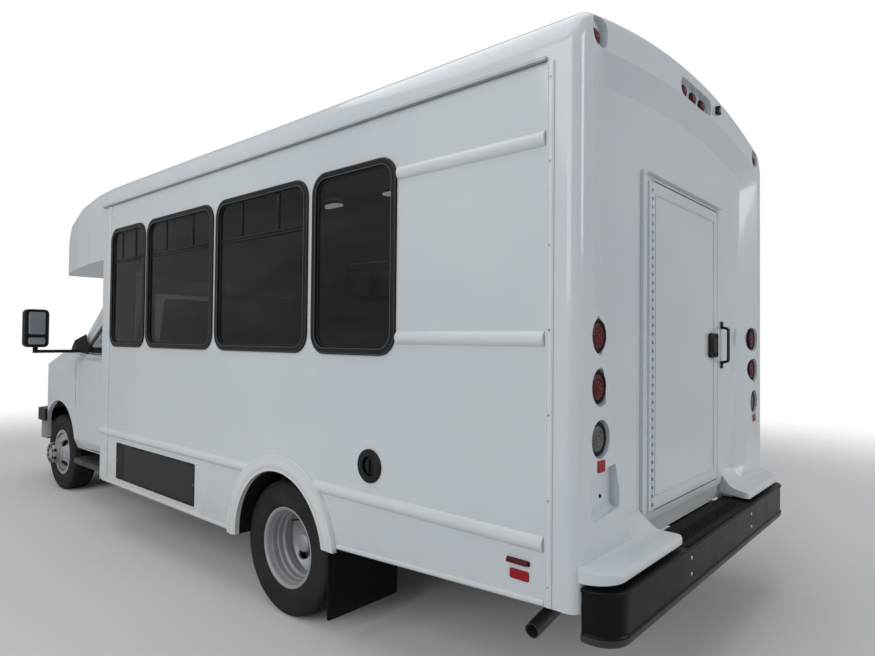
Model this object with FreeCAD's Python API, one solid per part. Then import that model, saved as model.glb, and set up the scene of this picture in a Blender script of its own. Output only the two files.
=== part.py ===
import FreeCAD, Part
import math
import os
from FreeCAD import Vector

# A cutaway shuttle minibus: a short-nosed van cab on a ladder frame, with a wide moulded passenger body behind it.
# Lengths are millimetres. +X is the vehicle's left, +Y runs to the rear and +Z is up from the ground.
# Stations are measured rearward from the front axle, and everything moves to the middle of the vehicle on export.

# Wheelbase, wheels and track
wheelbase = 4039.0
front_overhang = 860.0
tyre_radius = 372.0
tyre_width = 222.0
rim_radius = 203.0
rim_width = 190.0
flange_height = 17.0
front_wheel_x = 872.0
hub_bore = 62.0
disc_gauge = 12.0
disc_land = 120.0
hand_holes = 4
hand_circle = 142.0
hand_radius = 34.0
hub_cover = [(118.0, 0.0, 0.0), (118.0, 9.0, 4.0), (104.0, 14.0, 0.0), (98.0, 76.0, 14.0)]
cover_slots = 8
rear_outer_x = 1040.0
dual_spacing = 258.0
kingpin_x = 735.0
steer_arm = 150.0
shaft_clearance = 0.08
running_gap = 0.3

# Passenger body
body_half = 1219.0
body_front = 1640.0
body_rear = 5847.0
cap_depth = 109.0
cap_proud = 20.0
wall = 45.0
crown_z = 2885.0
roof_radius = 5000.0
shoulder_radius = 165.0
gutter_z = 2569.0
skirt_front_z = 394.0
skirt_behind_z = 505.0
skirt_rear_z = 565.0
floor_z = 755.0
floor_depth = 50.0
arch_offset = 50.0
arch_radius = 398.0
arch_z = 417.0
flare_width = 88.0
flare_proud = 26.0

# Side windows: each row gives the front edge's station, the width, and whether it has sliding vents at its top
window_height = 915.0
window_base = 1454.0
window_corner = 105.0
frame_face = 42.0
frame_lap = 14.0
frame_proud = 7.0
vent_drop = 255.0
left_windows = [(1796.0, 604.0, True), (2428.0, 929.0, True), (3389.0, 925.0, True), (4350.0, 612.0, False)]
right_windows = [(2745.0, 612.0, True), (3389.0, 925.0, True), (4350.0, 612.0, False)]

# Rear wall, its recess, door and bumper
recess_depth = 60.0
recess_arch = 5500.0
brow_radius = 45.0
lamp_heights = [1551.0, 1359.0, 1164.0]
lamp_x = 1035.0
lamp_radius = 62.0
cluster_z = 2764.0
cluster_spacing = 130.0
marker_x = 1052.0
marker_z = 2698.0
pod_depth = 30.0
plate_pocket = [(888.0, 1062.0), (1110.0, 1034.0), (1112.0, 862.0), (872.0, 884.0)]
rear_door_half = 465.0
rear_door_base = 774.0
rear_door_top = 2258.0
door_thickness = 40.0
door_gap = 6.0
jamb_width = 74.0
bumper_half = 1188.0
bumper_top = 657.0
bumper_height = 192.0
bumper_reach = 160.0
wing_inner = 548.0
wing_outer = 1196.0
wing_base = 676.0
wing_back = 134.0
handle_x = 535.0

# Entry door on the right side, two leaves that open like a cupboard
entry_front = 1800.0
entry_width = 860.0
entry_base = 440.0
entry_top = 2330.0

# Cab
cab_half = 1006.0
cab_roof_z = 2075.0
sill_z = 470.0
belt_z = 1320.0
cab_skin = 38.0
cab_door_front = 440.0
cab_door_rear = 1545.0
cowl_station = -20.0
cowl_z = 1392.0
nose_cap_base = 2150.0
bumper_pad_top = 765.0
front_arch_radius = 440.0

# Frame
rail_x = 390.0
rail_width = 70.0
rail_height = 170.0
rail_top = 655.0
cab_floor_z = rail_top + 40

mid_station = (body_rear + bumper_reach - front_overhang) / 2
left, right = 1, -1


def box(x, y, z):
    """A block from three (low, high) pairs."""
    return Part.makeBox(x[1] - x[0], y[1] - y[0], z[1] - z[0], Vector(x[0], y[0], z[0]))


def rod(start, end, radius):
    """A round bar between two points."""
    start, end = Vector(*start), Vector(*end)
    return Part.makeCylinder(radius, (end - start).Length, start, end - start)


def place(plane, u, v, level):
    """A point of a drawing plane: 'xy', 'xz' or 'yz' at a level on the third axis."""
    return {"xy": Vector(u, v, level), "xz": Vector(u, level, v), "yz": Vector(level, u, v)}[plane]


def outline(corners, plane, level):
    """A closed wire through corners (u, v, radius), each rounded by its own radius."""
    count = len(corners)
    starts, ends, arcs = [], [], []
    for i, (u, v, r) in enumerate(corners):
        here = Vector(u, v, 0)
        before = Vector(corners[i - 1][0], corners[i - 1][1], 0)
        after = Vector(corners[(i + 1) % count][0], corners[(i + 1) % count][1], 0)
        to_before = (before - here).normalize()
        to_after = (after - here).normalize()
        half = to_before.getAngle(to_after) / 2
        if r <= 0 or half > math.pi / 2 - 0.01:
            starts.append(here)
            ends.append(here)
            arcs.append(None)
            continue
        reach = r / math.tan(half)
        middle = (to_before + to_after).normalize()
        starts.append(here + to_before * reach)
        ends.append(here + to_after * reach)
        arcs.append(here + middle * (r / math.sin(half) - r))
    at = lambda p: place(plane, p.x, p.y, level)
    edges = []
    for i in range(count):
        if arcs[i] is not None:
            edges.append(Part.Arc(at(starts[i]), at(arcs[i]), at(ends[i])).toShape())
        following = starts[(i + 1) % count]
        if (following - ends[i]).Length > 0.001:
            edges.append(Part.makeLine(at(ends[i]), at(following)))
    return Part.Wire(edges)


def prism(corners, plane, low, high):
    """An outline with rounded corners, extruded across its plane from low to high."""
    face = Part.Face(outline(corners, plane, low))
    return face.extrude(place(plane, 0, 0, high - low))


def rectangle(u, v, radius):
    """The corners of a rounded rectangle."""
    return [(u[0], v[0], radius), (u[1], v[0], radius), (u[1], v[1], radius), (u[0], v[1], radius)]


def mirrored(shape):
    return shape.mirror(Vector(0, 0, 0), Vector(1, 0, 0))


def on_side(shape, side):
    """A shape drawn on the left, or its mirror image on the right."""
    return shape if side == left else mirrored(shape)


def both(shape):
    return [shape, mirrored(shape)]


def joined(shapes):
    result = shapes[0].multiFuse(shapes[1:]) if len(shapes) > 1 else shapes[0]
    return result.removeSplitter()


def less(shape, tools):
    return shape.cut(Part.makeCompound(tools)) if tools else shape


def turned(profile, centre_x, station=0.0, height=0.0):
    """A profile of (radius, x) corners with rounding, revolved about a line along X."""
    wire = outline([(x, r, c) for r, x, c in profile], "xy", 0)
    ring = Part.Face(wire).revolve(Vector(0, 0, 0), Vector(1, 0, 0), 360).rotated(Vector(0, 0, 0),
                                                                                  Vector(1, 0, 0), 45)
    return ring.translated(Vector(centre_x, station, height))


def save(name, shapes):
    """Writes one node, moved so that the vehicle's middle is at the origin."""
    shapes = shapes if isinstance(shapes, list) else [shapes]
    solids = [solid for shape in shapes for solid in shape.Solids]
    shape = solids[0] if len(solids) == 1 else Part.makeCompound(solids)
    shape.translated(Vector(0, -mid_station, 0)).exportStep("parts/" + name + ".step")
    print(name, len(solids), "solid(s)", round(shape.Volume / 1e6, 2), "litres",
          "" if shape.isValid() else "INVALID")


def body_section(half, crown, base, station, shoulder, crown_radius):
    """The body's cross-section: upright walls, tangent shoulder arcs and a wide crown arc."""
    centre_z = crown - crown_radius
    shoulder_z = centre_z + math.sqrt((crown_radius - shoulder) ** 2 - (half - shoulder) ** 2)
    tilt = math.atan2(shoulder_z - centre_z, half - shoulder)
    meet = Vector(crown_radius * math.cos(tilt), station, centre_z + crown_radius * math.sin(tilt))
    bend = Vector(half - shoulder + shoulder * math.cos(tilt / 2), station,
                  shoulder_z + shoulder * math.sin(tilt / 2))
    spring = Vector(half, station, shoulder_z)
    foot = Vector(half, station, base)
    flip = lambda p: Vector(-p.x, p.y, p.z)
    top = Vector(0, station, crown)
    return Part.Wire([
        Part.makeLine(flip(foot), foot),
        Part.makeLine(foot, spring),
        Part.Arc(spring, bend, meet).toShape(),
        Part.Arc(meet, top, flip(meet)).toShape(),
        Part.Arc(flip(meet), flip(bend), flip(spring)).toShape(),
        Part.makeLine(flip(spring), flip(foot)),
    ])


def body_block(inset, low, high, base):
    """The body's section, drawn in by an inset and extruded between two stations."""
    wire = body_section(body_half - inset, crown_z - inset, base, low, shoulder_radius - inset,
                        roof_radius - inset)
    return Part.Face(wire).extrude(Vector(0, high - low, 0))


cap_front = body_rear - cap_depth
rear_face = body_rear + cap_proud
recess_station = rear_face - recess_depth
arch_station = wheelbase + arch_offset
inner_half = body_half - wall


# Ladder frame: two channels, cross-members between them and the engine's place at the front

def frame_rails():
    low, high = -front_overhang + 150, body_rear + 10
    tall = (rail_top - rail_height, rail_top)
    rail = box((rail_x - rail_width / 2, rail_x + rail_width / 2), (low, high), tall)
    hollow = box((rail_x - rail_width / 2 - 1, rail_x + rail_width / 2 - 7), (low - 1, high + 1),
                 (tall[0] + 7, tall[1] - 7))
    rail = rail.cut(hollow)
    reach = rail_x + rail_width / 2 - 7
    bars = []
    for station in cross_stations:
        bars.append(box((-reach, reach), (station - 35, station + 35), (rail_top - 70, rail_top - 15)))
    return joined([rail, mirrored(rail)] + bars)


cross_stations = (-560.0, 700.0, 1650.0, 2600.0, 3500.0, 4560.0, 5680.0)
engine_box = ((-250.0, 250.0), (-420.0, 430.0), (500.0, 1120.0))

axle_z = tyre_radius
arm_rise = 155.0
spindle_radius = 30.0
spindle_end = front_wheel_x + 100


def front_crossmember():
    """The suspension beam below the rails, with an upper and a lower arm to each kingpin."""
    beam = box((-rail_x - 60, rail_x + 60), (-80, 80), (rail_top - rail_height - 90, rail_top - rail_height))
    outer = rail_x + rail_width / 2
    tower = box((outer, outer + 55), (-70, 70), (rail_top - rail_height - 30, axle_z + arm_rise + 45))
    lower = prism([(rail_x - 20, -120, 10), (kingpin_x + 30, -38, 36), (kingpin_x + 30, 38, 36),
                   (rail_x - 20, 120, 10)],
                  "xy", axle_z - arm_rise - 26, axle_z - arm_rise)
    upper = prism([(outer, -80, 10), (kingpin_x + 30, -34, 32), (kingpin_x + 30, 34, 32), (outer, 80, 10)],
                  "xy", axle_z + arm_rise, axle_z + arm_rise + 24)
    strut = box((rail_x + 5, rail_x + 60), (-60, 60), (axle_z - arm_rise - 26, rail_top - rail_height - 60))
    side = joined([tower, lower, upper, strut])
    return joined([beam, side, mirrored(side)])


def knuckle(side):
    """The upright between the arms, its spindle and the steering arm behind it."""
    height = arm_rise - running_gap
    post = rod((kingpin_x, 0, axle_z - height), (kingpin_x, 0, axle_z + height), 24)
    web = box((kingpin_x - 22, kingpin_x + 22), (-40, 40), (axle_z - 95, axle_z + 95))
    spindle = rod((kingpin_x, 0, axle_z), (spindle_end, 0, axle_z), spindle_radius)
    shoulder = rod((kingpin_x, 0, axle_z), (kingpin_x + 40, 0, axle_z), 55)
    arm = prism([(kingpin_x - 14, 0, 0), (kingpin_x + 14, 0, 0), (kingpin_x + 14, steer_arm + 14, 13),
                 (kingpin_x - 14, steer_arm + 14, 13)], "xy", axle_z - 95, axle_z - 75)
    return on_side(joined([post, web, spindle, shoulder, arm]), side)


def tie_rod():
    """The bar that links the two steering arms, with an eye under each arm."""
    level = axle_z - 95 - running_gap
    bar = rod((-kingpin_x, steer_arm, level - 13), (kingpin_x, steer_arm, level - 13), 11)
    eye = rod((kingpin_x, steer_arm, level - 26), (kingpin_x, steer_arm, level), 15)
    return joined([bar, eye, mirrored(eye)])


spring_x = 520.0
spring_half = 700.0
axle_tube = 48.0
axle_end = rear_outer_x - 20


def rear_axle():
    """The axle tube with its differential, two leaf packs with their hangers, and the propeller shaft."""
    tube = rod((-axle_end, wheelbase, axle_z), (axle_end, wheelbase, axle_z), axle_tube)
    housing = turned([(20, -135, 0), (105, -135, 40), (165, 0, 120), (105, 135, 40), (20, 135, 0)], 0,
                     wheelbase, axle_z)
    nose = Part.makeCone(110, 60, 190, Vector(0, wheelbase - 120, axle_z), Vector(0, -1, 0))
    ear_z = rail_top - rail_height - 5
    low = axle_z + axle_tube - 6
    spring = Part.Wire([
        Part.Arc(Vector(0, wheelbase - spring_half, ear_z), Vector(0, wheelbase, low),
                 Vector(0, wheelbase + spring_half, ear_z)).toShape(),
        Part.makeLine(Vector(0, wheelbase + spring_half, ear_z),
                      Vector(0, wheelbase + spring_half, ear_z + 14)),
        Part.Arc(Vector(0, wheelbase + spring_half, ear_z + 14), Vector(0, wheelbase, low + 42),
                 Vector(0, wheelbase - spring_half, ear_z + 14)).toShape(),
        Part.makeLine(Vector(0, wheelbase - spring_half, ear_z + 14),
                      Vector(0, wheelbase - spring_half, ear_z)),
    ])
    leaf = Part.Face(spring).extrude(Vector(70, 0, 0)).translated(Vector(spring_x - 35, 0, 0))
    seat = box((spring_x - 45, spring_x + 45), (wheelbase - 70, wheelbase + 70), (axle_z + 20, low + 12))
    hangers = []
    for end in (-1, 1):
        y = wheelbase + end * spring_half
        hangers.append(box((rail_x + rail_width / 2, spring_x + 35), (y - 40, y + 40),
                           (ear_z - 14, ear_z + 90)))
    side = joined([leaf, seat] + hangers)
    return joined([tube, housing, nose, side, mirrored(side)])


def drive_shaft():
    """The gearbox behind the engine and the propeller shaft to the axle."""
    front, rear = engine_box[1][1] + gearbox_length, wheelbase - 120 - 190
    gearbox = prism([(-110, gearbox_base, 40), (110, gearbox_base, 40), (110, rail_top - 75, 30),
                     (-110, rail_top - 75, 30)],
                    "xz", engine_box[1][1], front)
    bend = rear - 60
    return joined([gearbox, rod((0, front, gearbox_base + 90), (0, bend, axle_z), 42),
                   Part.makeSphere(48, Vector(0, bend, axle_z)), rod((0, bend, axle_z), (0, rear, axle_z), 42)])


gearbox_length = 520.0
gearbox_base = 425.0


def fuel_tank():
    low, high = wheelbase + 330, wheelbase + 1230
    tank = prism(rectangle((-rail_x + 40, 170), (low, high), 60), "xy", 330, rail_top - rail_height + 60)
    return tank


def exhaust_pipe():
    """The pipe from the engine past the axle, a muffler under the floor and a tail turned out to the left."""
    x = engine_box[0][1] + pipe_radius + running_gap
    run = [(x, 100, 560), (x, 260, 470), (x, wheelbase + 1330, 465),
           (560, wheelbase + 1480, 400), (985, wheelbase + 1500, 335)]
    points = [Vector(*p) for p in run]
    start = Part.Wire(Part.makeCircle(pipe_radius, points[0], points[1] - points[0]))
    pipe = Part.makePolygon(points).makePipeShell([start], True, False, 2)
    muffler = rod((x, 2450, 455), (x, 3200, 455), 68)
    tip = (points[-1] - points[-2]).normalize()
    bore = Part.makeCylinder(pipe_radius - 4, 90, points[-1] - tip * 80, tip)
    return joined([pipe, muffler]).cut(bore)


pipe_radius = 32.0


# Wheels

def tyre(centre_x, station):
    """A closed ring with a crowned tread, round shoulders and bulging walls."""
    half = tyre_width / 2
    seat = rim_radius + running_gap
    lip = rim_radius + flange_height + running_gap
    bead = rim_width / 2 - running_gap
    right_half = [(tyre_radius - 6, half - 14, 26), (tyre_radius - 95, half, 40), (lip, bead, 0),
                  (lip, bead - 10, 0),
                  (seat, bead - 16, 0)]
    left_half = [(r, -x, c) for r, x, c in reversed(right_half)]
    return turned(left_half + [(tyre_radius, 0, 0)] + right_half, centre_x, station, axle_z)


def rim(centre_x, station, direction):
    """A steel wheel: a barrel between flanges and a dished disc with hand holes, mounted at its offset plane."""
    flange = rim_radius + flange_height
    half = rim_width / 2
    barrel = turned([(rim_radius - 12, -half, 0), (flange, -half, 0), (flange, -half + 10, 0),
                     (rim_radius, -half + 16, 0),
                     (rim_radius, half - 16, 0), (flange, half - 10, 0), (flange, half, 0), (rim_radius - 12, half, 0)],
                    0, station, axle_z)
    offset = dual_spacing / 2
    disc = turned([(hub_bore, offset - disc_gauge, 0), (disc_land - 8, offset - disc_gauge, 14),
                   (rim_radius - 9, half - 46, 0),
                   (rim_radius - 9, half - 26, 0), (disc_land, offset, 14), (hub_bore, offset, 0)], 0, station, axle_z)
    holes = []
    for i in range(hand_holes):
        angle = 2 * math.pi * (i + 0.5) / hand_holes
        y, z = station + hand_circle * math.cos(angle), axle_z + hand_circle * math.sin(angle)
        holes.append(rod((half - 60, y, z), (offset + 20, y, z), hand_radius))
    wheel = joined([barrel, less(disc, holes)])
    if direction < 0:
        wheel = mirrored(wheel)
    return wheel.translated(Vector(centre_x, 0, 0))


def front_rim(side):
    """The front wheel with its disc outboard, the hub it bolts to and the protruding hub cover."""
    plane = front_wheel_x + dual_spacing / 2
    hub = rod((front_wheel_x - 50, 0, axle_z), (plane - disc_gauge, 0, axle_z), hub_bore + 12)
    core = rod((plane - disc_gauge, 0, axle_z), (plane + hub_cover[-1][1] - 6, 0, axle_z), hub_bore)
    cover = turned([(hub_bore - 2, 0, 0)] + hub_cover + [(hub_bore - 2, hub_cover[-1][1], 6)], plane, 0,
                   axle_z)
    slots = []
    for i in range(cover_slots):
        angle = 2 * math.pi * i / cover_slots
        y, z = 80 * math.cos(angle), axle_z + 80 * math.sin(angle)
        slots.append(rod((plane + 44, y, z), (plane + 100, y, z), 12))
    shape = joined([rim(front_wheel_x, 0, 1), hub, core, less(cover, slots)])
    bore = rod((kingpin_x, 0, axle_z), (spindle_end + 2, 0, axle_z), spindle_radius + shaft_clearance)
    return on_side(shape.cut(bore), side)


def rear_rims(side):
    """Twin wheels bolted face to face on one hub, with the hub's cap in the outer dish."""
    inner_x = rear_outer_x - dual_spacing
    plane = (inner_x + rear_outer_x) / 2
    hub = rod((inner_x + 20, wheelbase, axle_z), (rear_outer_x - 10, wheelbase, axle_z), hub_bore + 12)
    cap = rod((rear_outer_x - 10, wheelbase, axle_z), (rear_outer_x + 28, wheelbase, axle_z), 46)
    bore = rod((0, wheelbase, axle_z), (axle_end + 2, wheelbase, axle_z), axle_tube + shaft_clearance)
    shape = joined([rim(rear_outer_x, wheelbase, -1), rim(inner_x, wheelbase, 1), hub, cap])
    return on_side(shape.cut(bore), side)


def rear_tyres(side):
    inner_x = rear_outer_x - dual_spacing
    return [tyre(side * x, wheelbase) for x in (rear_outer_x, inner_x)]


# Passenger body: floor, side walls, roof and the two moulded caps

step_depth = 300.0


def body_floor():
    slab = box((-inner_half, inner_half), (body_front, recess_station - wall),
               (floor_z - floor_depth, floor_z))
    sills = []
    for station in (1750.0, 2900.0, 3560.0, 4620.0, 5200.0, 5690.0):
        sills.append(box((-inner_half, inner_half), (station - 30, station + 30),
                         (rail_top, floor_z - floor_depth)))
    wells = both(box(*wheelhouse_span(wheelhouse_gauge)))
    shell = 10.0
    step_high = entry_front + entry_width - 20
    step_low = entry_front + 20
    step_box = box((-inner_half, -inner_half + step_depth), (step_low, step_high), (entry_base, floor_z + 1))
    outer_step = box((-inner_half, -inner_half + step_depth + shell), (step_low - shell, step_high + shell),
                     (entry_base - shell, floor_z))
    tread = box((-inner_half + step_depth / 2, -inner_half + step_depth), (step_low, step_high),
                (entry_base, (entry_base + floor_z) / 2))
    threshold = box((-body_half + 2, -inner_half), (entry_front + 1, entry_front + entry_width - 1),
                    (entry_base - shell, entry_base))
    floor = less(joined([slab] + sills + [outer_step, threshold]), wells + [step_box])
    return joined([floor, tread])


wheelhouse_gauge = 8.0


def wheelhouse_span(grow):
    reach = arch_radius + 55 + grow
    inner_x = rear_outer_x - dual_spacing - tyre_width / 2 - 45
    return ((inner_x - grow, inner_half), (arch_station - reach, arch_station + reach),
            (rail_top, arch_z + arch_radius + 70 + grow))


def wheelhouses():
    """The steel boxes over the twin wheels, open below and closed by the side wall."""
    (inner_x, outer_x), along, (base, top) = wheelhouse_span(0)
    space = box((inner_x, outer_x + 1), along, (base - 1, top))
    return both(box(*wheelhouse_span(wheelhouse_gauge)).cut(space))


def window_outline(window, inset):
    front, width, _ = window
    return rectangle((front + inset, front + width - inset),
                     (window_base + inset, window_base + window_height - inset),
                     window_corner - inset)


def side_wall(side, windows):
    """One bonded wall panel: straight skirt, wheel arch, raised rear skirt, and its window openings."""
    front_foot = arch_station - arch_radius
    rear_foot = arch_station + arch_radius
    corners = [(body_front, skirt_front_z, 60), (front_foot, skirt_front_z, 0),
               (rear_foot, skirt_behind_z, 0),
               (cap_front, skirt_rear_z, 0), (cap_front, gutter_z, 0), (body_front, gutter_z, 0)]
    panel = prism(corners, "yz", inner_half, body_half)
    arch = rod((inner_half - 1, arch_station, arch_z), (body_half + 1, arch_station, arch_z), arch_radius)
    foot = box((inner_half - 1, body_half + 1), (front_foot, rear_foot), (0, arch_z))
    openings = [prism(window_outline(w, frame_lap), "yz", inner_half - 1, body_half + 1) for w in windows]
    shape = less(panel, [arch, foot] + openings)
    if side == right:
        door = box((inner_half - 1, body_half + 1), (entry_front, entry_front + entry_width), (0, entry_top))
        shape = shape.cut(door)
    else:
        shape = less(shape, [prism(rectangle(grille_span, grille_tall, 8), "yz", inner_half - 1,
                                   body_half + 1),
                             rod((inner_half - 1, filler_station, filler_z),
                                 (body_half + 1, filler_station, filler_z),
                                 filler_radius - 12)])
    return on_side(shape, side)


grille_span = (1953.0, 3164.0)
grille_tall = (451.0, 722.0)
filler_station = body_rear - 1047.0
filler_z = 942.0
filler_radius = 78.0


def skirt_grille():
    """The mesh-covered tray let into the left skirt: a frame, upright slats and a shallow back box."""
    outer = prism(rectangle(grille_span, grille_tall, 8), "yz", inner_half, body_half - 2)
    inner = prism(rectangle((grille_span[0] + 14, grille_span[1] - 14),
                            (grille_tall[0] + 14, grille_tall[1] - 14), 4),
                  "yz", inner_half + 6, body_half - 1)
    slats = []
    count = 24
    pitch = (grille_span[1] - grille_span[0]) / count
    for i in range(1, count):
        y = grille_span[0] + i * pitch
        slats.append(box((body_half - 20, body_half - 10), (y - 3, y + 3),
                         (grille_tall[0] + 5, grille_tall[1] - 5)))
    return joined([outer.cut(inner)] + slats)


def fuel_filler():
    base = rod((inner_half, filler_station, filler_z), (body_half, filler_station, filler_z),
               filler_radius - 12)
    flange = rod((body_half, filler_station, filler_z), (body_half + 6, filler_station, filler_z),
                 filler_radius)
    cup = rod((inner_half + 12, filler_station, filler_z), (body_half + 7, filler_station, filler_z),
              filler_radius - 22)
    cap = rod((inner_half + 12, filler_station, filler_z), (body_half - 6, filler_station, filler_z),
              filler_radius - 36)
    return joined([joined([base, flange]).cut(cup), cap])


def window_frames():
    """Black rings that lap the wall, with a transom and two uprights where the window has vents."""
    rings = []
    for side, windows in ((left, left_windows), (right, right_windows)):
        for window in windows:
            front, width, vents = window
            face = prism(window_outline(window, 0), "yz", body_half, body_half + frame_proud)
            liner = prism(window_outline(window, frame_lap), "yz", inner_half, body_half)
            hole = prism(window_outline(window, frame_face), "yz", inner_half - 1,
                         body_half + frame_proud + 1)
            ring = joined([face, liner]).cut(hole)
            if vents:
                bar_z = window_base + window_height - vent_drop
                bars = [box((body_half - 26, body_half - 2),
                            (front + frame_face - 4, front + width - frame_face + 4),
                            (bar_z - 14, bar_z + 14))]
                for share in (1, 2):
                    y = front + frame_face + (width - 2 * frame_face) * share / 3
                    bars.append(box((body_half - 26, body_half - 6), (y - 9, y + 9),
                                    (bar_z, window_base + window_height - frame_face + 4)))
                ring = joined([ring] + bars)
            rings.append(on_side(ring, side))
    return rings


def window_glass():
    panes = []
    for side, windows in ((left, left_windows), (right, right_windows)):
        for window in windows:
            front, width, vents = window
            pane = prism(window_outline(window, frame_face), "yz", body_half - 18, body_half - 13)
            if vents:
                bar_z = window_base + window_height - vent_drop
                bars = [box((body_half - 40, body_half), (front, front + width), (bar_z - 14, bar_z + 14))]
                for share in (1, 2):
                    y = front + frame_face + (width - 2 * frame_face) * share / 3
                    bars.append(box((body_half - 40, body_half), (y - 9, y + 9),
                                    (bar_z, window_base + window_height)))
                pane = less(pane, bars)
            panes += [on_side(solid, side) for solid in pane.Solids]
    return panes


def roof_panel():
    outer = body_block(0, body_front, cap_front, gutter_z)
    inner = body_block(wall, body_front - 1, cap_front + 1, gutter_z - 1)
    return outer.cut(inner)


# Each corner of the recess, from foot to shoulder: how far in from the flank and how high, on its floor and then
# where it breaks out of the rear face, with its radius. The brow's peak and its radius follow.
recess_corners = [((674.0, 515.0), (660.0, 515.0), 0.0), ((480.0, 790.0), (394.0, 800.0), 70.0),
                  ((368.0, 1310.0), (216.0, 1310.0), 700.0), ((314.0, 1700.0), (122.0, 1720.0), 500.0),
                  ((267.0, crown_z - 343), (112.0, crown_z - 250), 95.0)]
recess_peak = (crown_z - 223, crown_z - 128)


def recess_outline(level, station):
    """The recess seen from behind: legs that widen upward, rounded shoulders and a shallow arch; level 1 is the face."""
    leg = [(body_half - corner[level][0], corner[level][1], corner[2]) for corner in recess_corners]
    arch = [(0, recess_peak[level], recess_arch)]
    return outline(leg + arch + [(-x, z, r) for x, z, r in reversed(leg)], "xz", station)


def lamp_recesses():
    """Round seats for the pillar lamps, a long one for the brow's three lamps and a pod for each marker lamp."""
    cuts = []
    for z in lamp_heights:
        cuts += both(rod((lamp_x, lamp_seat, z), (lamp_x, rear_face + 1, z), lamp_radius + 11))
    reach = cluster_spacing + 88
    cuts.append(prism(rectangle((-reach, reach), (cluster_z - 44, cluster_z + 44), 42), "xz",
                      rear_face - pod_depth, rear_face + 1))
    pod = prism(rectangle((marker_x - 60, marker_x + 60), (marker_z - 58, marker_z + 58), 52), "xz",
                rear_face - pod_depth,
                rear_face + 1)
    return cuts + both(pod)


def pocket():
    """The blank plate pocket in the left pillar, with a floor that slopes out."""
    high, low = plate_pocket[0][1], plate_pocket[2][1]
    form = prism([(rear_face - 38, high, 10), (rear_face + 1, high, 0), (rear_face + 1, low, 0),
                  (rear_face - 38, low + 34, 10)],
                 "yz", plate_pocket[3][0], plate_pocket[2][0])
    return form.common(prism([(x, z, 16) for x, z in plate_pocket], "xz", rear_face - 60, rear_face + 2))


def rear_cap():
    """The moulded rear wall: side faces, two lamp pillars, a recess under an arched brow, and the foot wings."""
    outer = body_block(0, cap_front, rear_face, skirt_rear_z)
    edges = [e for e in outer.Edges
             if all(abs(v.Y - rear_face) < 0.01 for v in e.Vertexes) and e.BoundBox.ZMax > skirt_rear_z + 1]
    outer = outer.makeFillet(brow_radius, edges)
    inside = body_block(wall, cap_front - 1, recess_station - wall, skirt_rear_z - 1)
    recess = Part.makeLoft([recess_outline(1, rear_face + 1), recess_outline(0, recess_station)], True, True)
    door = prism(rectangle((-jamb_outer, jamb_outer), (rear_door_base - 34, rear_door_top + 36), 30), "xz",
                 recess_station - wall - 1, recess_station + 1)
    tail_gap = box((-wing_inner - 120, wing_inner + 120), (cap_front - 1, rear_face + 1), (0, rail_top + 1))
    shell = less(outer, [inside, recess, door, tail_gap, pocket()] + lamp_recesses())
    back = body_rear + wing_back
    wing = prism([(recess_station - 10, wing_base, 0), (back, wing_base, 0), (back, wing_base + 30, 22),
                  (rear_face + 10, wing_base + 44, 60), (recess_station, bumper_top + 135, 0),
                  (recess_station - 10, bumper_top + 135, 0)], "yz", wing_inner - 70, wing_outer)
    trim = prism([(wing_inner, recess_station - 12, 0), (wing_outer, recess_station - 12, 0),
                  (wing_outer, back, 125),
                  (wing_inner - 66, back, 24), (wing_inner, recess_station + 18, 0)], "xy", 0, crown_z)
    wing = wing.common(trim)
    return joined([shell, wing, mirrored(wing)])


lamp_seat = rear_face - 26
jamb_outer = rear_door_half + door_gap + 24
hinge_offset = 7.0
hinge_x = rear_door_half + door_gap / 2
hinge_y = recess_station + 15 + hinge_offset


def rear_door_frame():
    """The jamb let into the recess, its flange flush with the door, a drip rail above and the sill below."""
    top, base = rear_door_top + door_gap, rear_door_base - door_gap
    reach = rear_door_half + door_gap
    face = recess_station + 15
    flange = prism(rectangle((-reach - jamb_width, reach + jamb_width), (base - 34, top + 40), 30), "xz",
                   recess_station, face)
    liner = prism(rectangle((-jamb_outer, jamb_outer), (rear_door_base - 34, rear_door_top + 36), 30), "xz",
                  recess_station - wall, recess_station)
    hole = prism(rectangle((-reach, reach), (base, top), 18), "xz", recess_station - wall - 1, face + 1)
    stop = prism(rectangle((-reach, reach), (base, top), 18), "xz", recess_station - wall,
                 recess_station - wall + 3)
    stop_hole = prism(rectangle((-reach + 14, reach - 14), (base + 14, top - 14), 8), "xz",
                      recess_station - wall - 1,
                      recess_station - wall + 4)
    drip = box((-reach - 30, reach + 30), (face, face + 22), (top + 16, top + 26))
    barrel = rod((hinge_x, hinge_y, base + 10), (hinge_x, hinge_y, top - 10), hinge_offset - running_gap)
    strap = box((reach - 1, reach + 28), (face, face + hinge_offset + 2), (base + 10, top - 10))
    return joined([joined([flange, liner]).cut(hole), stop.cut(stop_hole), drip, barrel, strap])


def rear_door():
    face = recess_station + 15
    leaf = prism(rectangle((-rear_door_half, rear_door_half), (rear_door_base, rear_door_top), 14), "xz",
                 face - door_thickness, face)
    inset = prism(rectangle((-rear_door_half + 48, rear_door_half - 48),
                            (rear_door_base + 60, rear_door_top - 48), 14),
                  "xz", face - 3, face + 1)
    lock = prism(rectangle((-rear_door_half + 26, -rear_door_half + 114), (1450, 1578), 16), "xz", face - 3,
                 face + 8)
    return joined([leaf.cut(inset), lock])


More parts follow.
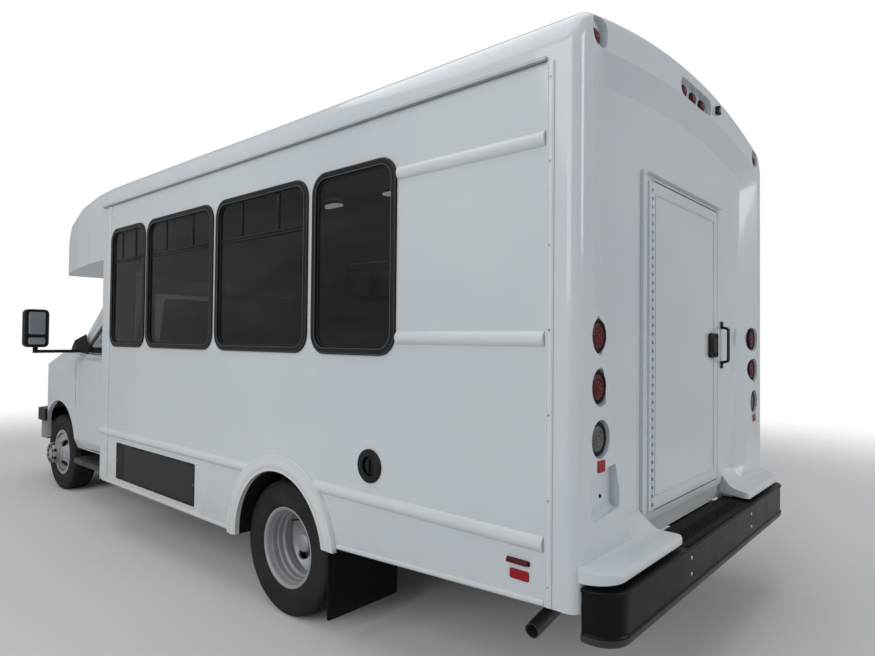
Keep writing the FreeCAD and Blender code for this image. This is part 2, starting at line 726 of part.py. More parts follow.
def grab_handle():
    """A flat bar bent to a D, with a tab beyond each end of its grip."""
    face = recess_station + 15
    reach, gauge, low, high = 44, 9, 1384, 1648
    bar = [(face, low, 0), (face + gauge, low, 0), (face + gauge, low + 26, 5), (face + reach, low + 34, 16),
           (face + reach, high - 34, 16), (face + gauge, high - 26, 5), (face + gauge, high, 0), (face, high,
                                                                                                  0),
           (face, high - 40, 8), (face + reach - gauge, high - 46, 8), (face + reach - gauge, low + 46, 8), (face, low + 40, 8)]
    return prism(bar, "yz", -handle_x - 13, -handle_x + 13)


def bumper_plan(inset, radius):
    front = rear_face + 1 if inset <= 0 else rear_face - 40
    back = body_rear + bumper_reach - inset
    return [(-bumper_half + inset, front, 0), (bumper_half - inset, front, 0),
            (bumper_half - inset, back, radius), (-bumper_half + inset, back, radius)]


def rear_bumper():
    """A black beam across the tail: a face between two rounded lips, wrapped round the corners and hollow behind."""
    back = body_rear + bumper_reach
    base = bumper_top - bumper_height
    face = prism(bumper_plan(6, 99), "xy", base + 2, bumper_top - 2)
    face = face.common(box((-bumper_half, bumper_half), (rear_face + 1, back), (base, bumper_top)))
    lips = []
    for low, high, radius in ((base, base + 42, 16), (bumper_top - 16, bumper_top, 6)):
        lip = prism(bumper_plan(0, 105), "xy", low, high)
        lips.append(lip.makeFillet(radius, [e for e in lip.Edges if e.BoundBox.ZLength < 0.1 and e.BoundBox.YMax > rear_face + 30]))
    inner = prism(bumper_plan(18, 88), "xy", base - 1, bumper_top - 16)
    brackets = [box((rail_x - 30, rail_x + 30), (body_rear + 10, back - 18), (rail_top - 130, rail_top - 20))]
    return joined([joined([face] + lips).cut(inner)] + brackets + [mirrored(brackets[0])])


def tail_lamps():
    """Round lamps down each pillar with a reflector below, and the brow's three lamps between its marker lamps."""
    lamps = []
    for z in lamp_heights:
        lamps += both(rod((lamp_x, lamp_seat, z), (lamp_x, lamp_seat + 24, z), lamp_radius))
    lamps += both(prism(rectangle((lamp_x - 28, lamp_x + 28), (1042, 1086), 6), "xz", rear_face,
                        rear_face + 5))
    for x in (-cluster_spacing, 0.0, cluster_spacing):
        lamps.append(rod((x, rear_face - pod_depth, cluster_z - 6), (x, rear_face - 6, cluster_z - 6), 33))
    return lamps + both(rod((marker_x + 14, rear_face - pod_depth, marker_z - 22),
                            (marker_x + 14, rear_face - 8, marker_z - 22), 25))


def body_trim():
    """Half-round rails along each wall, the gutters, the flared arch lips and the corner strips."""
    parts = []
    window_end = left_windows[-1][0] + left_windows[-1][1]
    rails = [(787.0, body_front + 4, arch_station - arch_radius - flare_width + 40),
             (787.0, arch_station + arch_radius - 40, cap_front - 4),
             (1538.0, window_end + 8, cap_front - 4), (2278.0, window_end + 8, cap_front - 4)]
    flare = less(rod((body_half, arch_station, arch_z), (body_half + flare_proud, arch_station, arch_z),
                     arch_radius + flare_width),
                 [rod((body_half - 1, arch_station, arch_z),
                      (body_half + flare_proud + 1, arch_station, arch_z),
                      arch_radius)])
    flare = less(flare, [box((0, 2000), (0, arch_station), (-body_half, skirt_front_z)),
                         box((0, 2000), (arch_station, body_rear), (-body_half, skirt_behind_z - 15))])
    for side in (left, right):
        mine = []
        for z, start, end in rails:
            if side == right and z < 1000 and start < entry_front:
                start = entry_front + entry_width + 8
            bar = rod((body_half - rail_inset, start, z), (body_half - rail_inset, end, z), rail_radius)
            bar = bar.common(box((body_half, body_half + rail_radius), (start - 1, end + 1),
                                 (z - 40, z + 40)))
            mine.append(bar)
        gutter = box((body_half, body_half + 14), (body_front, cap_front), (gutter_z - 8, gutter_z + 10))
        mine.append(gutter)
        parts += [on_side(s, side) for s in joined([flare] + mine).Solids]
    return parts


rail_radius = 33.0
rail_inset = 14.0


def mud_flaps():
    station = wheelbase + tyre_radius + 48
    flap = box((rear_outer_x - dual_spacing - 90, rear_outer_x + 130), (station, station + 10),
               (225, rail_top - 15))
    bar = box((rail_x + rail_width / 2, rear_outer_x + 130), (station + 10, station + 40),
              (rail_top - 55, rail_top - 15))
    return both(joined([flap, bar]))


# The moulded nose above the cab: each row is a station, half width, crown height, base height and shoulder radius

nose_rows = [
    (body_front, body_half, crown_z, nose_cap_base, 165.0),
    (1330.0, 1214.0, 2874.0, nose_cap_base - 10, 180.0),
    (980.0, 1196.0, 2842.0, nose_cap_base - 28, 210.0),
    (700.0, 1160.0, 2785.0, nose_cap_base - 44, 240.0),
    (500.0, 1105.0, 2706.0, nose_cap_base - 52, 240.0),
    (370.0, 1020.0, 2608.0, nose_cap_base - 40, 190.0),
    (300.0, 920.0, 2510.0, nose_cap_base, 120.0),
]
nose_wall = 40.0


def nose_loft(inset, rows):
    """The nose's form, drawn in by an inset and carried past the body's edge where it is open."""
    wires = []
    for station, half, crown, base, shoulder in rows:
        place_at = body_front + 1 if inset and station == body_front else station + inset
        wires.append(body_section(half - inset, crown - inset, base + inset, place_at, shoulder - inset,
                                  roof_radius - inset))
    return Part.makeLoft(wires, True, True)


def front_cap():
    """The over-cab nose and the narrow front wall that closes the body beside the cab."""
    shell = nose_loft(0, nose_rows).cut(nose_loft(nose_wall, nose_rows[:-1]))
    flank = box((cab_half - cab_skin, body_half), (body_front - 25, body_front),
                (skirt_front_z, nose_cap_base + 20))
    edge = flank.Edges
    upright = [e for e in edge if all(abs(v.X - body_half) < 0.01 and abs(v.Y - body_front + 25) < 0.01
                                      for v in e.Vertexes)]
    flank = flank.makeFillet(20, upright)
    header = box((-cab_half, cab_half), (body_front - 25, body_front), (cab_roof_z, nose_cap_base + 20))
    return joined([shell, flank, mirrored(flank), header])


# Cab: three prisms meet in one master form, and its panels are zones of that form's skin

def cab_section(inset, floor, drop, station):
    """The cab from ahead: flanks, shoulders that sink by a drop and round off with it, and the leaning greenhouse."""
    t = inset
    half = [(cab_half - 30 - t, floor, 0), (cab_half - t, floor + 90, 60),
            (cab_half - t, belt_z - 20 - drop, 30 + drop * 0.35),
            (cab_half - 22 - drop * 0.35 - t, belt_z + 12 - drop * 0.5, 30 + drop * 0.35),
            (cab_half - 150 - t, 1990 - t, 60), (cab_half - 260 - t, cab_roof_z + 30 - t, 0)]
    return outline(half + [(-x, z, r) for x, z, r in reversed(half)], "xz", station)


def greenhouse(inset):
    """Pillars and windscreen: a plan with rounded front corners, swept up and back."""
    front, half = cowl_station - 110 + inset, cab_half + 4 - inset
    side = [(half, cab_rear + 2, 0), (half, front + 470, 150), (half - 235, front + 165, 240),
            (half - 560, front + 40, 500)]
    plan = outline(side + [(-x, y, r) for x, y, r in reversed(side)], "xy", belt_z - 40)
    rise = cab_roof_z + 100 - belt_z
    return Part.Face(plan).extrude(Vector(0, rise * 1.07, rise))


def cab_form(inset, low_open=False):
    """The cab's outer form, drawn in by an inset: side profile, front section and plan, with the greenhouse on top."""
    t = inset
    floor = sill_z if not low_open else sill_z - 200
    back = cab_rear - (0 if t == 0 else -1)
    side = [(back, floor, 0), (back, cab_roof_z - t, 0), (930, cab_roof_z + 10 - t, 120),
            (730 + t * 0.5, cab_roof_z - 45 - t, 120), (cowl_station + t, cowl_z - t, 0),
            (-600, 1235 - t, 60), (nose_front + t, 1120 - t, 70), (nose_front - 18 + t, 800, 0),
            (nose_front + 10 + t, floor, 0)]
    flank = cab_half + 2 - t
    plan = [(-flank, cab_rear + 2, 0), (-flank, -330, 300), (-flank + 97, -650, 120),
            (-flank + 282, nose_front - 20 + t, 120), (flank - 282, nose_front - 20 + t, 120),
            (flank - 97, -650, 120), (flank, -330, 300), (flank, cab_rear + 2, 0)]
    length = prism(side, "yz", -cab_half - 5, cab_half + 5)
    middle = cab_door_front + 30
    front_half = Part.makeLoft([cab_section(t, floor, 0, middle),
                                cab_section(t, floor, 230, nose_front - 60)], True, True)
    rear_half = Part.Face(cab_section(t, floor, 0, middle)).extrude(Vector(0, cab_rear + 3 - middle, 0))
    above = prism(plan, "xy", floor - 2, cab_roof_z + 60)
    shelf = box((-1100, 1100), (nose_front - 100, cab_rear + 10), (0, belt_z + 42 - t))
    bonnet = box((-1100, 1100), (nose_front - 100, cowl_station), (0, cab_roof_z))
    top = shelf.fuse(bonnet).fuse(greenhouse(t))
    return length.common(front_half.fuse(rear_half)).common(above).common(top).removeSplitter()


cab_rear = body_front - 25.0
nose_front = -front_overhang + 70
cab_outer = cab_form(0)
cab_inner = cab_form(cab_skin, True)
cab_shell_form = cab_outer.cut(cab_inner)
door_gap_cab = 6.0
door_head_z = 1968.0
pillar_lean = 1.15
pillar_foot = belt_z + 60
door_kick = 160.0
door_kick_z = 860.0


def door_outline(grow):
    """The cab door's cut line seen from the side: its front clears the wheel arch below and leans with the pillar above."""
    g = grow
    head_station = cab_door_front + (door_head_z - pillar_foot) * pillar_lean
    return [(cab_door_front + door_kick - 0.66 * g, sill_z + 22 - g, 30),
            (cab_door_rear + g, sill_z + 22 - g, 40),
            (cab_door_rear + g, belt_z, 0), (cab_door_rear + 2.4 * g, door_head_z + g, 60),
            (head_station - 0.37 * g, door_head_z + g, 70), (cab_door_front - g, pillar_foot + 0.46 * g, 60),
            (cab_door_front - g, door_kick_z - 0.2 * g, 220)]


def cab_window(grow):
    """The glass in the door, with the sail corner ahead of it."""
    g = grow
    low, high = belt_z + 58, door_head_z - 63
    front = lambda z: cab_door_front + 92 + (z - pillar_foot) * pillar_lean
    return [(front(low) - 1.6 * g, low - g, 30), (cab_door_rear - 75 + g, low - g, 40),
            (cab_door_rear - 75 + g, high + g, 60), (front(high) - 1.2 * g, high + g, 60)]


door_axis_x = cab_half + 3
door_axis_station = cab_door_front - door_gap_cab / 2
hinge_heights = (940.0, 1190.0)
hinge_tall = 45.0
hinge_radius = 7.0


def hinge_rod(low, high, clearance):
    """Both cab door hinge barrels on the left, between two shares of their half height."""
    at = lambda z: (door_axis_x, door_axis_station, z)
    return [rod(at(z + low * hinge_tall - clearance), at(z + high * hinge_tall + clearance),
                hinge_radius + clearance)
            for z in hinge_heights]


front_door_cut = prism(door_outline(0), "yz", 700, cab_half + 40)
hood_cut = prism([(-730, nose_front - 60, 0), (730, nose_front - 60, 0), (790, cowl_station - 14, 0),
                  (-790, cowl_station - 14, 0)], "xy", 1075, 1500)
fender_span = prism([(nose_front - 100, 0, 0), (cab_door_front, 0, 0), (cab_door_front, belt_z + 20, 0),
                     (300, belt_z + 35, 0), (cowl_station + 12, cowl_z + 40, 0), (cowl_station + 12, 1500, 0),
                     (nose_front - 100, 1500, 0)], "yz", -1100, 1100)
hood_room = prism([(-736, nose_front - 60, 0), (736, nose_front - 60, 0), (796, cowl_station + 8, 0),
                   (-796, cowl_station + 8, 0)], "xy", 1070, 1510)


def wheel_arch(side):
    return on_side(rod((500, 0, axle_z + 75), (1100, 0, axle_z + 75), front_arch_radius), side)


def cab_body():
    """Sills, pillars, roof, cowl, floor and bulkhead, with both doors and the windscreen cut out."""
    shell = cab_shell_form.cut(fender_span)
    windscreen = prism(screen_outline(12), "xz", cowl_station - 100, 1000).common(screen_zone())
    doors = [on_side(prism(door_outline(door_gap_cab), "yz", 500, cab_half + 40), s) for s in (left, right)]
    floor = box((-cab_half + cab_skin, cab_half - cab_skin), (520, cab_rear), (rail_top, cab_floor_z))
    firewall = box((-880, 880), (470, 520), (rail_top, belt_z + 30))
    ledge = box((-850, 850), (cab_door_front + 2, 520), (belt_z - 20, belt_z + 30))
    shape = less(shell, doors + [windscreen, hood_room])
    return joined([shape, floor, firewall, ledge])


def screen_outline(grow):
    g = grow
    return [(-860 - g, cowl_z + 42 - g, 60), (860 + g, cowl_z + 42 - g, 60), (745 + g, 1955 + g, 90),
            (-745 - g, 1955 + g, 90)]


def screen_zone():
    return box((-1000, 1000), (-200, 1180), (cowl_z + 20, cab_roof_z - 40))


def windshield():
    pane = cab_form(8).cut(cab_form(14))
    return pane.common(prism(screen_outline(12 - 0.5), "xz", cowl_station - 100, 1000)).common(screen_zone())


def front_fenders():
    """Both wings with the nose panel between them, cut away for the wheels, the bonnet and the grille."""
    side = box((0, 1100), (nose_front - 100, cab_door_front), (0, 1500))
    shell = cab_shell_form.common(fender_span).common(side)
    grille = prism(rectangle((-690, 690), (bumper_pad_top + 4, 1062), 40), "xz", nose_front - 60,
                   nose_front + 120)
    low = box((-1100, 1100), (nose_front - 100, -front_arch_radius - 20), (0, bumper_pad_top + 5))
    door = prism(door_outline(door_gap_cab), "yz", 500, cab_half + 40)
    shape = less(shell, [wheel_arch(left), door, grille, hood_room, low] + hinge_rod(-1, 1, 1.0))
    knuckles = []
    for low_share, high_share in ((-1, -0.34), (0.34, 1)):
        knuckles += hinge_rod(low_share, high_share, 0)
        for z in hinge_heights:
            knuckles.append(box((cab_half - 12, door_axis_x), (door_axis_station - 12, door_axis_station),
                                (z + low_share * hinge_tall, z + high_share * hinge_tall)))
    shape = joined([shape] + knuckles)
    return joined([shape, mirrored(shape)])


hinge_station = cowl_station - 27
hinge_z = cowl_z - 27


def hood():
    """The bonnet panel with a hinge pin at each rear corner."""
    front, rear = nose_front - 60, cowl_station + 8
    edge = 736 + 60 * (hinge_station - 6 - front) / (rear - front)
    pins = both(rod((760, hinge_station, hinge_z), (edge - running_gap, hinge_station, hinge_z), 6))
    return joined([cab_shell_form.common(hood_cut)] + pins)


def cab_door(side):
    leaf = cab_shell_form.common(front_door_cut)
    glass_hole = prism(cab_window(0), "yz", 700, cab_half + 40)
    leaf = less(leaf, [glass_hole] + hinge_rod(-1, 1, 1.0))
    share = 0.34 - running_gap / hinge_tall
    straps = [box((cab_half - 12, door_axis_x), (door_axis_station, door_axis_station + 12),
                  (z - share * hinge_tall, z + share * hinge_tall)) for z in hinge_heights]
    return on_side(joined([leaf] + hinge_rod(-share, share, 0) + straps), side)


door_pane = cab_form(16).cut(cab_form(22)).common(prism(cab_window(0), "yz", 700, cab_half + 40))


def cab_door_glass(side):
    return on_side(door_pane, side)


mirror_station = 640.0


def mirror_sail():
    """The corner plate that carries the mirror, on the door's skin ahead of its window."""
    low, high = belt_z + 50, 1560
    lean = (high - low) * pillar_lean
    sail = prism([(cab_door_front + 8, low, 10), (cab_door_front + 200, low, 10),
                  (cab_door_front + 86 + lean, high, 20), (cab_door_front + 14 + lean, high, 10),
                  (cab_door_front + 8, low + 12, 6)], "yz", cab_half - 120, cab_half + 20)
    return cab_form(-8).common(sail).cut(cab_outer)


def mirror_arm():
    """A head on a long level arm from the sail corner."""
    level, reach = belt_z + 74, 1405
    arm = rod((cab_half - 90, mirror_station - 30, level), (reach, mirror_station, level), 14).cut(cab_outer)
    head = prism(rectangle((reach - 93, reach + 93), (1431, 1766), 40), "xz", mirror_station - 40,
                 mirror_station + 40)
    post = rod((reach, mirror_station, level - 14), (reach, mirror_station, 1440), 20)
    return arm.multiFuse([head, post, mirror_sail()])


mirror_form = mirror_arm()


def mirror(side):
    return on_side(mirror_form, side)


def front_grille():
    """The grille with its crossbars and a square lamp at each side, in one moulded frame."""
    frame = prism(rectangle((-686, 686), (bumper_pad_top + 8, 1058), 30), "xz", nose_front - 4,
                  nose_front + 60)
    openings = [prism(rectangle((-420, 420), (low, low + 60), 8), "xz", nose_front - 10, nose_front + 40)
                for low in (815.0, 893.0, 971.0)]
    lamps = both(prism(rectangle((470, 660), (820, 1030), 20), "xz", nose_front - 10, nose_front + 1))
    return joined([less(frame, openings)] + lamps)


def front_bumper():
    """A black upper pad over a deeper painted lower face, wrapped round the corners."""
    front = -front_overhang
    pad = prism([(-990, -470, 0), (-990, front + 140, 90), (-700, front, 260), (700, front, 260),
                 (990, front + 140, 90),
                 (990, -470, 0)], "xy", 640, bumper_pad_top)
    lower = prism([(-960, -480, 0), (-960, front + 150, 90), (-700, front + 30, 260), (700, front + 30, 260),
                   (960, front + 150, 90), (960, -480, 0)], "xy", 450, 640)
    hollow = prism([(-900, -470, 0), (-900, front + 180, 60), (-680, front + 90, 200), (680, front + 90, 200),
                    (900, front + 180, 60), (900, -470, 0)], "xy", 400, bumper_pad_top - 20)
    gap = box((-1100, 1100), (-front_arch_radius - 25, 0), (300, 900))
    mount = both(box((rail_x - 35, rail_x + 35), (front + 88, -front_overhang + 150),
                     (rail_top - 120, rail_top - 40)))
    return joined([less(joined([pad, lower]), [hollow, gap])] + mount)


def splash_guards():
    """Black liners behind the front wheels, curved about the wheel and hung from the wings."""
    low, high = front_arch_radius + 34, front_arch_radius + 40
    ring = rod((560, 0, axle_z), (cab_half - cab_skin - 4, 0, axle_z),
               high).cut(rod((559, 0, axle_z), (cab_half, 0, axle_z), low))
    return both(ring.common(box((500, cab_half), (240, 600), (300, 690))))


def side_steps():
    tread = prism([(540, 350, 20), (cab_rear - 4, 350, 0), (cab_rear - 4, 392, 0), (640, 392, 30),
                   (560, 400, 0)], "yz", 800, 1045)
    hanger = [box((rail_x + rail_width / 2, 820), (y - 20, y + 20),
                  (380, rail_top - rail_height + 40)) for y in (820.0, 1480.0)]
    hanger += [box((780, 820), (y - 20, y + 20), (352, 420)) for y in (820.0, 1480.0)]
    return both(joined([tread] + hanger))


def dashboard():
    """A full-width fascia on the bulkhead with the column and steering wheel at the left."""
    fascia = prism([(520, 1000, 20), (840, 1080, 60), (800, 1280, 60), (520, belt_z + 28, 0)], "yz", -850,
                   850)
    column = rod((430, 700, 1100), (430, 920, 1205), 30)
    wheel = Part.makeTorus(190, 15, Vector(430, 930, 1210), Vector(0, 0.92, 0.4))
    spoke = rod((430 - 185, 930, 1210), (430 + 185, 930, 1210), 13)
    return joined([fascia, column, wheel, spoke])


def seat(x, width, station, base, lean, height):
    """One simple seat: a cushion and a leaning back."""
    cushion = prism(rectangle((x - width / 2, x + width / 2), (station, station + 440), 45), "xy", base,
                    base + 110)
    back = prism([(station + 380, base + 110 + running_gap, 0), (station + 480, base + 110 + running_gap, 0),
                  (station + 480 + lean, base + height, 40),
                  (station + 390 + lean, base + height, 40)], "yz", x - width / 2, x + width / 2)
    return [cushion, back]


seat_base = floor_z + 360
left_rows = [1980.0, 2760.0, 3540.0, 4320.0]
right_rows = [2860.0, 3600.0, 4340.0]
seat_x = 690.0


def seat_cushions():
    parts = []
    for side, rows in ((left, left_rows), (right, right_rows)):
        for station in rows:
            for x in (seat_x - 222, seat_x + 222):
                parts += seat(side * x, 436, station, seat_base, 110, 700)
    for x in (430, -430):
        parts += seat(x, 500, 1060, cab_floor_z + 230, 90, 640)
    return parts


def seat_frames():
    """Two floor tracks each side, and for each row a pedestal, a cross tube and the seat pans."""
    parts = []
    for side, rows in ((left, left_rows), (right, right_rows)):
        members = []
        for station in rows:
            pan = box((seat_x - 440, seat_x + 440), (station + 30, station + 420),
                      (seat_base - 26, seat_base))
            leg = box((seat_x - 300, seat_x - 260), (station + 60, station + 400), (floor_z, seat_base - 26))
            rail = box((seat_x + 300, inner_half), (station + 180, station + 240),
                       (seat_base - 26, seat_base - 2))
            hinge = box((seat_x - 440, seat_x + 440), (station + 420, station + 482),
                        (seat_base - 26, seat_base + 110))
            spine = hinge.cut(box((seat_x - 441, seat_x + 441), (station + 420, station + 442),
                                  (seat_base, seat_base + 112)))
            members += [joined([pan, rail, spine]), leg]
        parts += [on_side(s, side) for s in members]
    for x in (430, -430):
        parts.append(box((x - 200, x + 200), (1100, 1460), (cab_floor_z, cab_floor_z + 230)))
    return parts


# Entry door: two glazed leaves that swing out about their outer edges

leaf_gap = 6.0


def entry_leaf(front, rear, pivot):
    """A black leaf with its tall window cut out, and a pivot pin at the top and bottom of its hinge edge."""
    leaf = prism(rectangle((front, rear), (entry_base + 8, entry_top - 8), 4), "yz",
                 body_half - door_thickness, body_half - 2)
    hole = prism(rectangle((front + 52, rear - 52), (entry_base + 90, entry_top - 90), 50), "yz",
                 body_half - 80, body_half)
    pin = rod((body_half - pivot_inset, pivot, entry_base + running_gap),
              (body_half - pivot_inset, pivot, entry_top - running_gap), 5)
    return mirrored(joined([leaf.cut(hole), pin]))


pivot_inset = 8.0


def entry_glass(front, rear):
    return mirrored(prism(rectangle((front + 52, rear - 52), (entry_base + 90, entry_top - 90), 50), "yz",
                          body_half - 22, body_half - 16))


entry_mid = entry_front + entry_width / 2
front_leaf = (entry_front + leaf_gap, entry_mid - leaf_gap / 2)
rear_leaf = (entry_mid + leaf_gap / 2, entry_front + entry_width - leaf_gap)
front_pivot = front_leaf[0] + pivot_inset
rear_pivot = rear_leaf[1] - pivot_inset


def build():
    os.makedirs("parts", exist_ok=True)
    save("frame_rails", frame_rails())
    save("engine_block", box(*engine_box))
    save("front_crossmember", front_crossmember())
    save("rear_axle", rear_axle())
    save("drive_shaft", drive_shaft())
    save("fuel_tank", fuel_tank())
    save("exhaust_pipe", exhaust_pipe())
    save("body_floor", body_floor())
    save("wheelhouses", wheelhouses())
    save("side_wall_left", side_wall(left, left_windows))
    save("side_wall_right", side_wall(right, right_windows))
    save("roof_panel", roof_panel())
    save("rear_cap", rear_cap())
    save("front_cap", front_cap())
    save("window_frames", window_frames())
    save("window_glass", window_glass())
    save("body_trim", body_trim())
    save("skirt_grille", skirt_grille())
    save("fuel_filler", fuel_filler())
    save("tail_lamps", tail_lamps())
    save("rear_bumper", rear_bumper())
    save("mud_flaps", mud_flaps())
    save("rear_door_frame", rear_door_frame())
    save("rear_door", rear_door())
    save("grab_handle", grab_handle())
    save("cab_body", cab_body())
    save("front_fenders", front_fenders())
    save("windshield", windshield())
    save("hood", hood())
    save("front_grille", front_grille())
    save("front_bumper", front_bumper())
    save("side_steps", side_steps())
    save("splash_guards", splash_guards())
    save("dashboard", dashboard())
    save("seat_cushions", seat_cushions())
    save("seat_frames", seat_frames())
    save("entry_door_front", entry_leaf(*front_leaf, front_pivot))
    save("entry_glass_front", entry_glass(*front_leaf))
    save("entry_door_rear", entry_leaf(*rear_leaf, rear_pivot))
    save("entry_glass_rear", entry_glass(*rear_leaf))
    save("tie_rod", tie_rod())
    for side, name in ((left, "left"), (right, "right")):
        save("cab_door_" + name, cab_door(side))
        save("cab_glass_" + name, cab_door_glass(side))
        save("mirror_" + name, mirror(side))
        save("knuckle_" + name, knuckle(side))
        save("front_tyre_" + name, tyre(side * front_wheel_x, 0))
        save("front_rim_" + name, front_rim(side))
        save("rear_tyres_" + name, rear_tyres(side))
        save("rear_rims_" + name, rear_rims(side))


build()
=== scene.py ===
import bpy, bmesh
from math import asin, cos, pi, radians, sin
from mathutils import Vector, Matrix


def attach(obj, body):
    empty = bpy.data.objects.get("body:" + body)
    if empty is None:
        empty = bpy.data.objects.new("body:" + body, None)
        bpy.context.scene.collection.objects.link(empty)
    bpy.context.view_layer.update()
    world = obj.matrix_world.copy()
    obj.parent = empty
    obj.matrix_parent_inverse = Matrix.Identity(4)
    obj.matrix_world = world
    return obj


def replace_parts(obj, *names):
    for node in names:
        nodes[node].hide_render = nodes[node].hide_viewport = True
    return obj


# A white shuttle minibus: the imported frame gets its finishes, and the small parts that only show are added.
# Pieces are drawn in millimetres, with y as the distance behind the front axle, and moved to the frame last.

print("loading the frame")
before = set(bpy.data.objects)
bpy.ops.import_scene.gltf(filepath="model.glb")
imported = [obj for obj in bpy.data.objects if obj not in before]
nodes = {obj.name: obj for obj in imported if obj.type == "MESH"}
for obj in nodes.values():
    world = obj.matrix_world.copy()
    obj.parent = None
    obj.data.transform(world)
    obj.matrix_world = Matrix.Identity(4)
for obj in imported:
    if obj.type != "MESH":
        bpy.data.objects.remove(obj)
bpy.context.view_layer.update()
midStation = 2573.5  # the middle of the vehicle, behind the front axle
wallFace = 1219.0  # the outer face of the body's side walls
toFrame = Matrix.Translation((0, -midStation / 1000, 0)) @ Matrix.Scale(0.001, 4)
left, right = 1, -1
sides = ((left, "left"), (right, "right"))


def linear(hexColour):  # sRGB hex to linear
    values = [int(hexColour[i:i + 2], 16) / 255 for i in (1, 3, 5)]
    return [v / 12.92 if v <= 0.04045 else ((v + 0.055) / 1.055) ** 2.4 for v in values] + [1.0]


def addNode(tree, kind, settings=None, links=None):
    node = tree.nodes.new(kind)
    for key, value in (settings or {}).items():
        if isinstance(key, int) or key in node.inputs:
            node.inputs[key].default_value = value
        else:
            setattr(node, key, value)
    for key, source in (links or {}).items():
        tree.links.new(source, node.inputs[key])
    return node


def startMaterial(name, gloss=None):  # gloss holds the constants on the shader's own sockets
    material = bpy.data.materials.new(name)
    material.use_nodes = True
    tree = material.node_tree
    tree.nodes.clear()
    shader = addNode(tree, "ShaderNodeBsdfPrincipled", gloss)
    addNode(tree, "ShaderNodeOutputMaterial", links={"Surface": shader.outputs["BSDF"]})
    place = addNode(tree, "ShaderNodeTexCoord").outputs["Object"]
    return material, tree, shader, place


def blotches(tree, place, perMetre, low=0.35, high=0.65):
    noise = addNode(tree, "ShaderNodeTexNoise", {"Scale": perMetre, "Detail": 3.0}, {"Vector": place})
    return addNode(tree, "ShaderNodeMapRange", {"From Min": low, "From Max": high},
                   {"Value": noise.outputs["Fac"]}).outputs[0]


def coverWith(tree, shader, first, second, share, relief=None, depth=0.0):
    # two colours mixed by a share, over a relief with a depth in metres
    mixed = addNode(tree, "ShaderNodeMixRGB", {"Color1": linear(first), "Color2": linear(second)},
                    {"Fac": share})
    tree.links.new(mixed.outputs[0], shader.inputs["Base Color"])
    if relief:
        bump = addNode(tree, "ShaderNodeBump", {"Distance": depth, "Strength": 1.0}, {"Height": relief})
        tree.links.new(bump.outputs["Normal"], shader.inputs["Normal"])
    return mixed.outputs[0]


# Two-pack white over steel or gelcoat: a clear gloss, a faint 60 mm ripple and a film of dust low down.
def whiteCoat(name, base, shade, rough=0.16, ripple=0.00035):
    gloss = {"IOR": 1.48, "Coat Weight": 0.5, "Coat Roughness": 0.04}
    dustTop, dustFull, dustShare = 0.75, 0.35, 0.45  # metres above the road, and the thickest film
    material, tree, shader, place = startMaterial(name, gloss)
    waves = addNode(tree, "ShaderNodeTexNoise", {"Scale": 16.0, "Detail": 2.0}, {"Vector": place})
    white = coverWith(tree, shader, base, shade, blotches(tree, place, 1.3), waves.outputs["Fac"], ripple)
    height = addNode(tree, "ShaderNodeSeparateXYZ", links={"Vector": place}).outputs["Z"]
    low = addNode(tree, "ShaderNodeMapRange", {"From Min": dustTop, "From Max": dustFull}, {"Value": height})
    patchy = addNode(tree, "ShaderNodeMath", {"operation": "MULTIPLY"},
                     {0: low.outputs[0], 1: blotches(tree, place, 9, 0.3, 0.8)})
    film = addNode(tree, "ShaderNodeMath", {"operation": "MULTIPLY", 1: dustShare}, {0: patchy.outputs[0]})
    dusty = addNode(tree, "ShaderNodeMixRGB", {"Color2": linear("#b8b4aa")},
                    {"Fac": film.outputs[0], "Color1": white})
    tree.links.new(dusty.outputs[0], shader.inputs["Base Color"])
    dull = addNode(tree, "ShaderNodeMapRange", {"To Min": rough, "To Max": rough + 0.25},
                   {"Value": film.outputs[0]})
    tree.links.new(dull.outputs[0], shader.inputs["Roughness"])
    return material


# Anything moulded, coated or turned in one colour: blotches, a grain of a stated size in mm and its own gloss.
def solidFinish(name, base, shade, rough, grain, depth, metallic=0.0, roughSwing=0.08, specular=0.5):
    gloss = {"Metallic": metallic, "Specular IOR Level": specular}
    material, tree, shader, place = startMaterial(name, gloss)
    patches = blotches(tree, place, 7)
    texture = addNode(tree, "ShaderNodeTexNoise", {"Scale": 1000 / grain, "Detail": 3.0}, {"Vector": place})
    coverWith(tree, shader, base, shade, patches, texture.outputs["Fac"], depth)
    dull = addNode(tree, "ShaderNodeMapRange", {"To Min": rough, "To Max": rough + roughSwing},
                   {"Value": patches})
    tree.links.new(dull.outputs[0], shader.inputs["Roughness"])
    return material


# Tinted float glass: see-through by its alpha, so that daylight still reaches the seats, with 200 mm waves.
def tintedGlass(name, tint, shade, alpha):
    gloss = {"Alpha": alpha, "Roughness": 0.03, "IOR": 1.52, "Specular IOR Level": 0.3}
    material, tree, shader, place = startMaterial(name, gloss)
    cloud = addNode(tree, "ShaderNodeMapping", {"Scale": (1.0, 0.5, 2.5)}, {"Vector": place}).outputs[0]
    waves = addNode(tree, "ShaderNodeTexNoise", {"Scale": 5.0, "Detail": 1.0}, {"Vector": place})
    coverWith(tree, shader, tint, shade, blotches(tree, cloud, 2.2), waves.outputs["Fac"], 0.0004)
    return material


# Acrylic lens: prisms a few millimetres apart behind a polished face.
def lensFinish(name, colour, deep, pitch=4.0):
    gloss = {"Roughness": 0.12, "IOR": 1.49, "Specular IOR Level": 0.22, "Coat Weight": 0.1,
             "Coat Roughness": 0.03}
    material, tree, shader, place = startMaterial(name, gloss)
    cells = addNode(tree, "ShaderNodeTexVoronoi", {"Scale": 1000 / pitch}, {"Vector": place})
    prisms = cells.outputs["Distance"]
    coverWith(tree, shader, colour, deep, prisms, prisms, 0.0012)
    return material


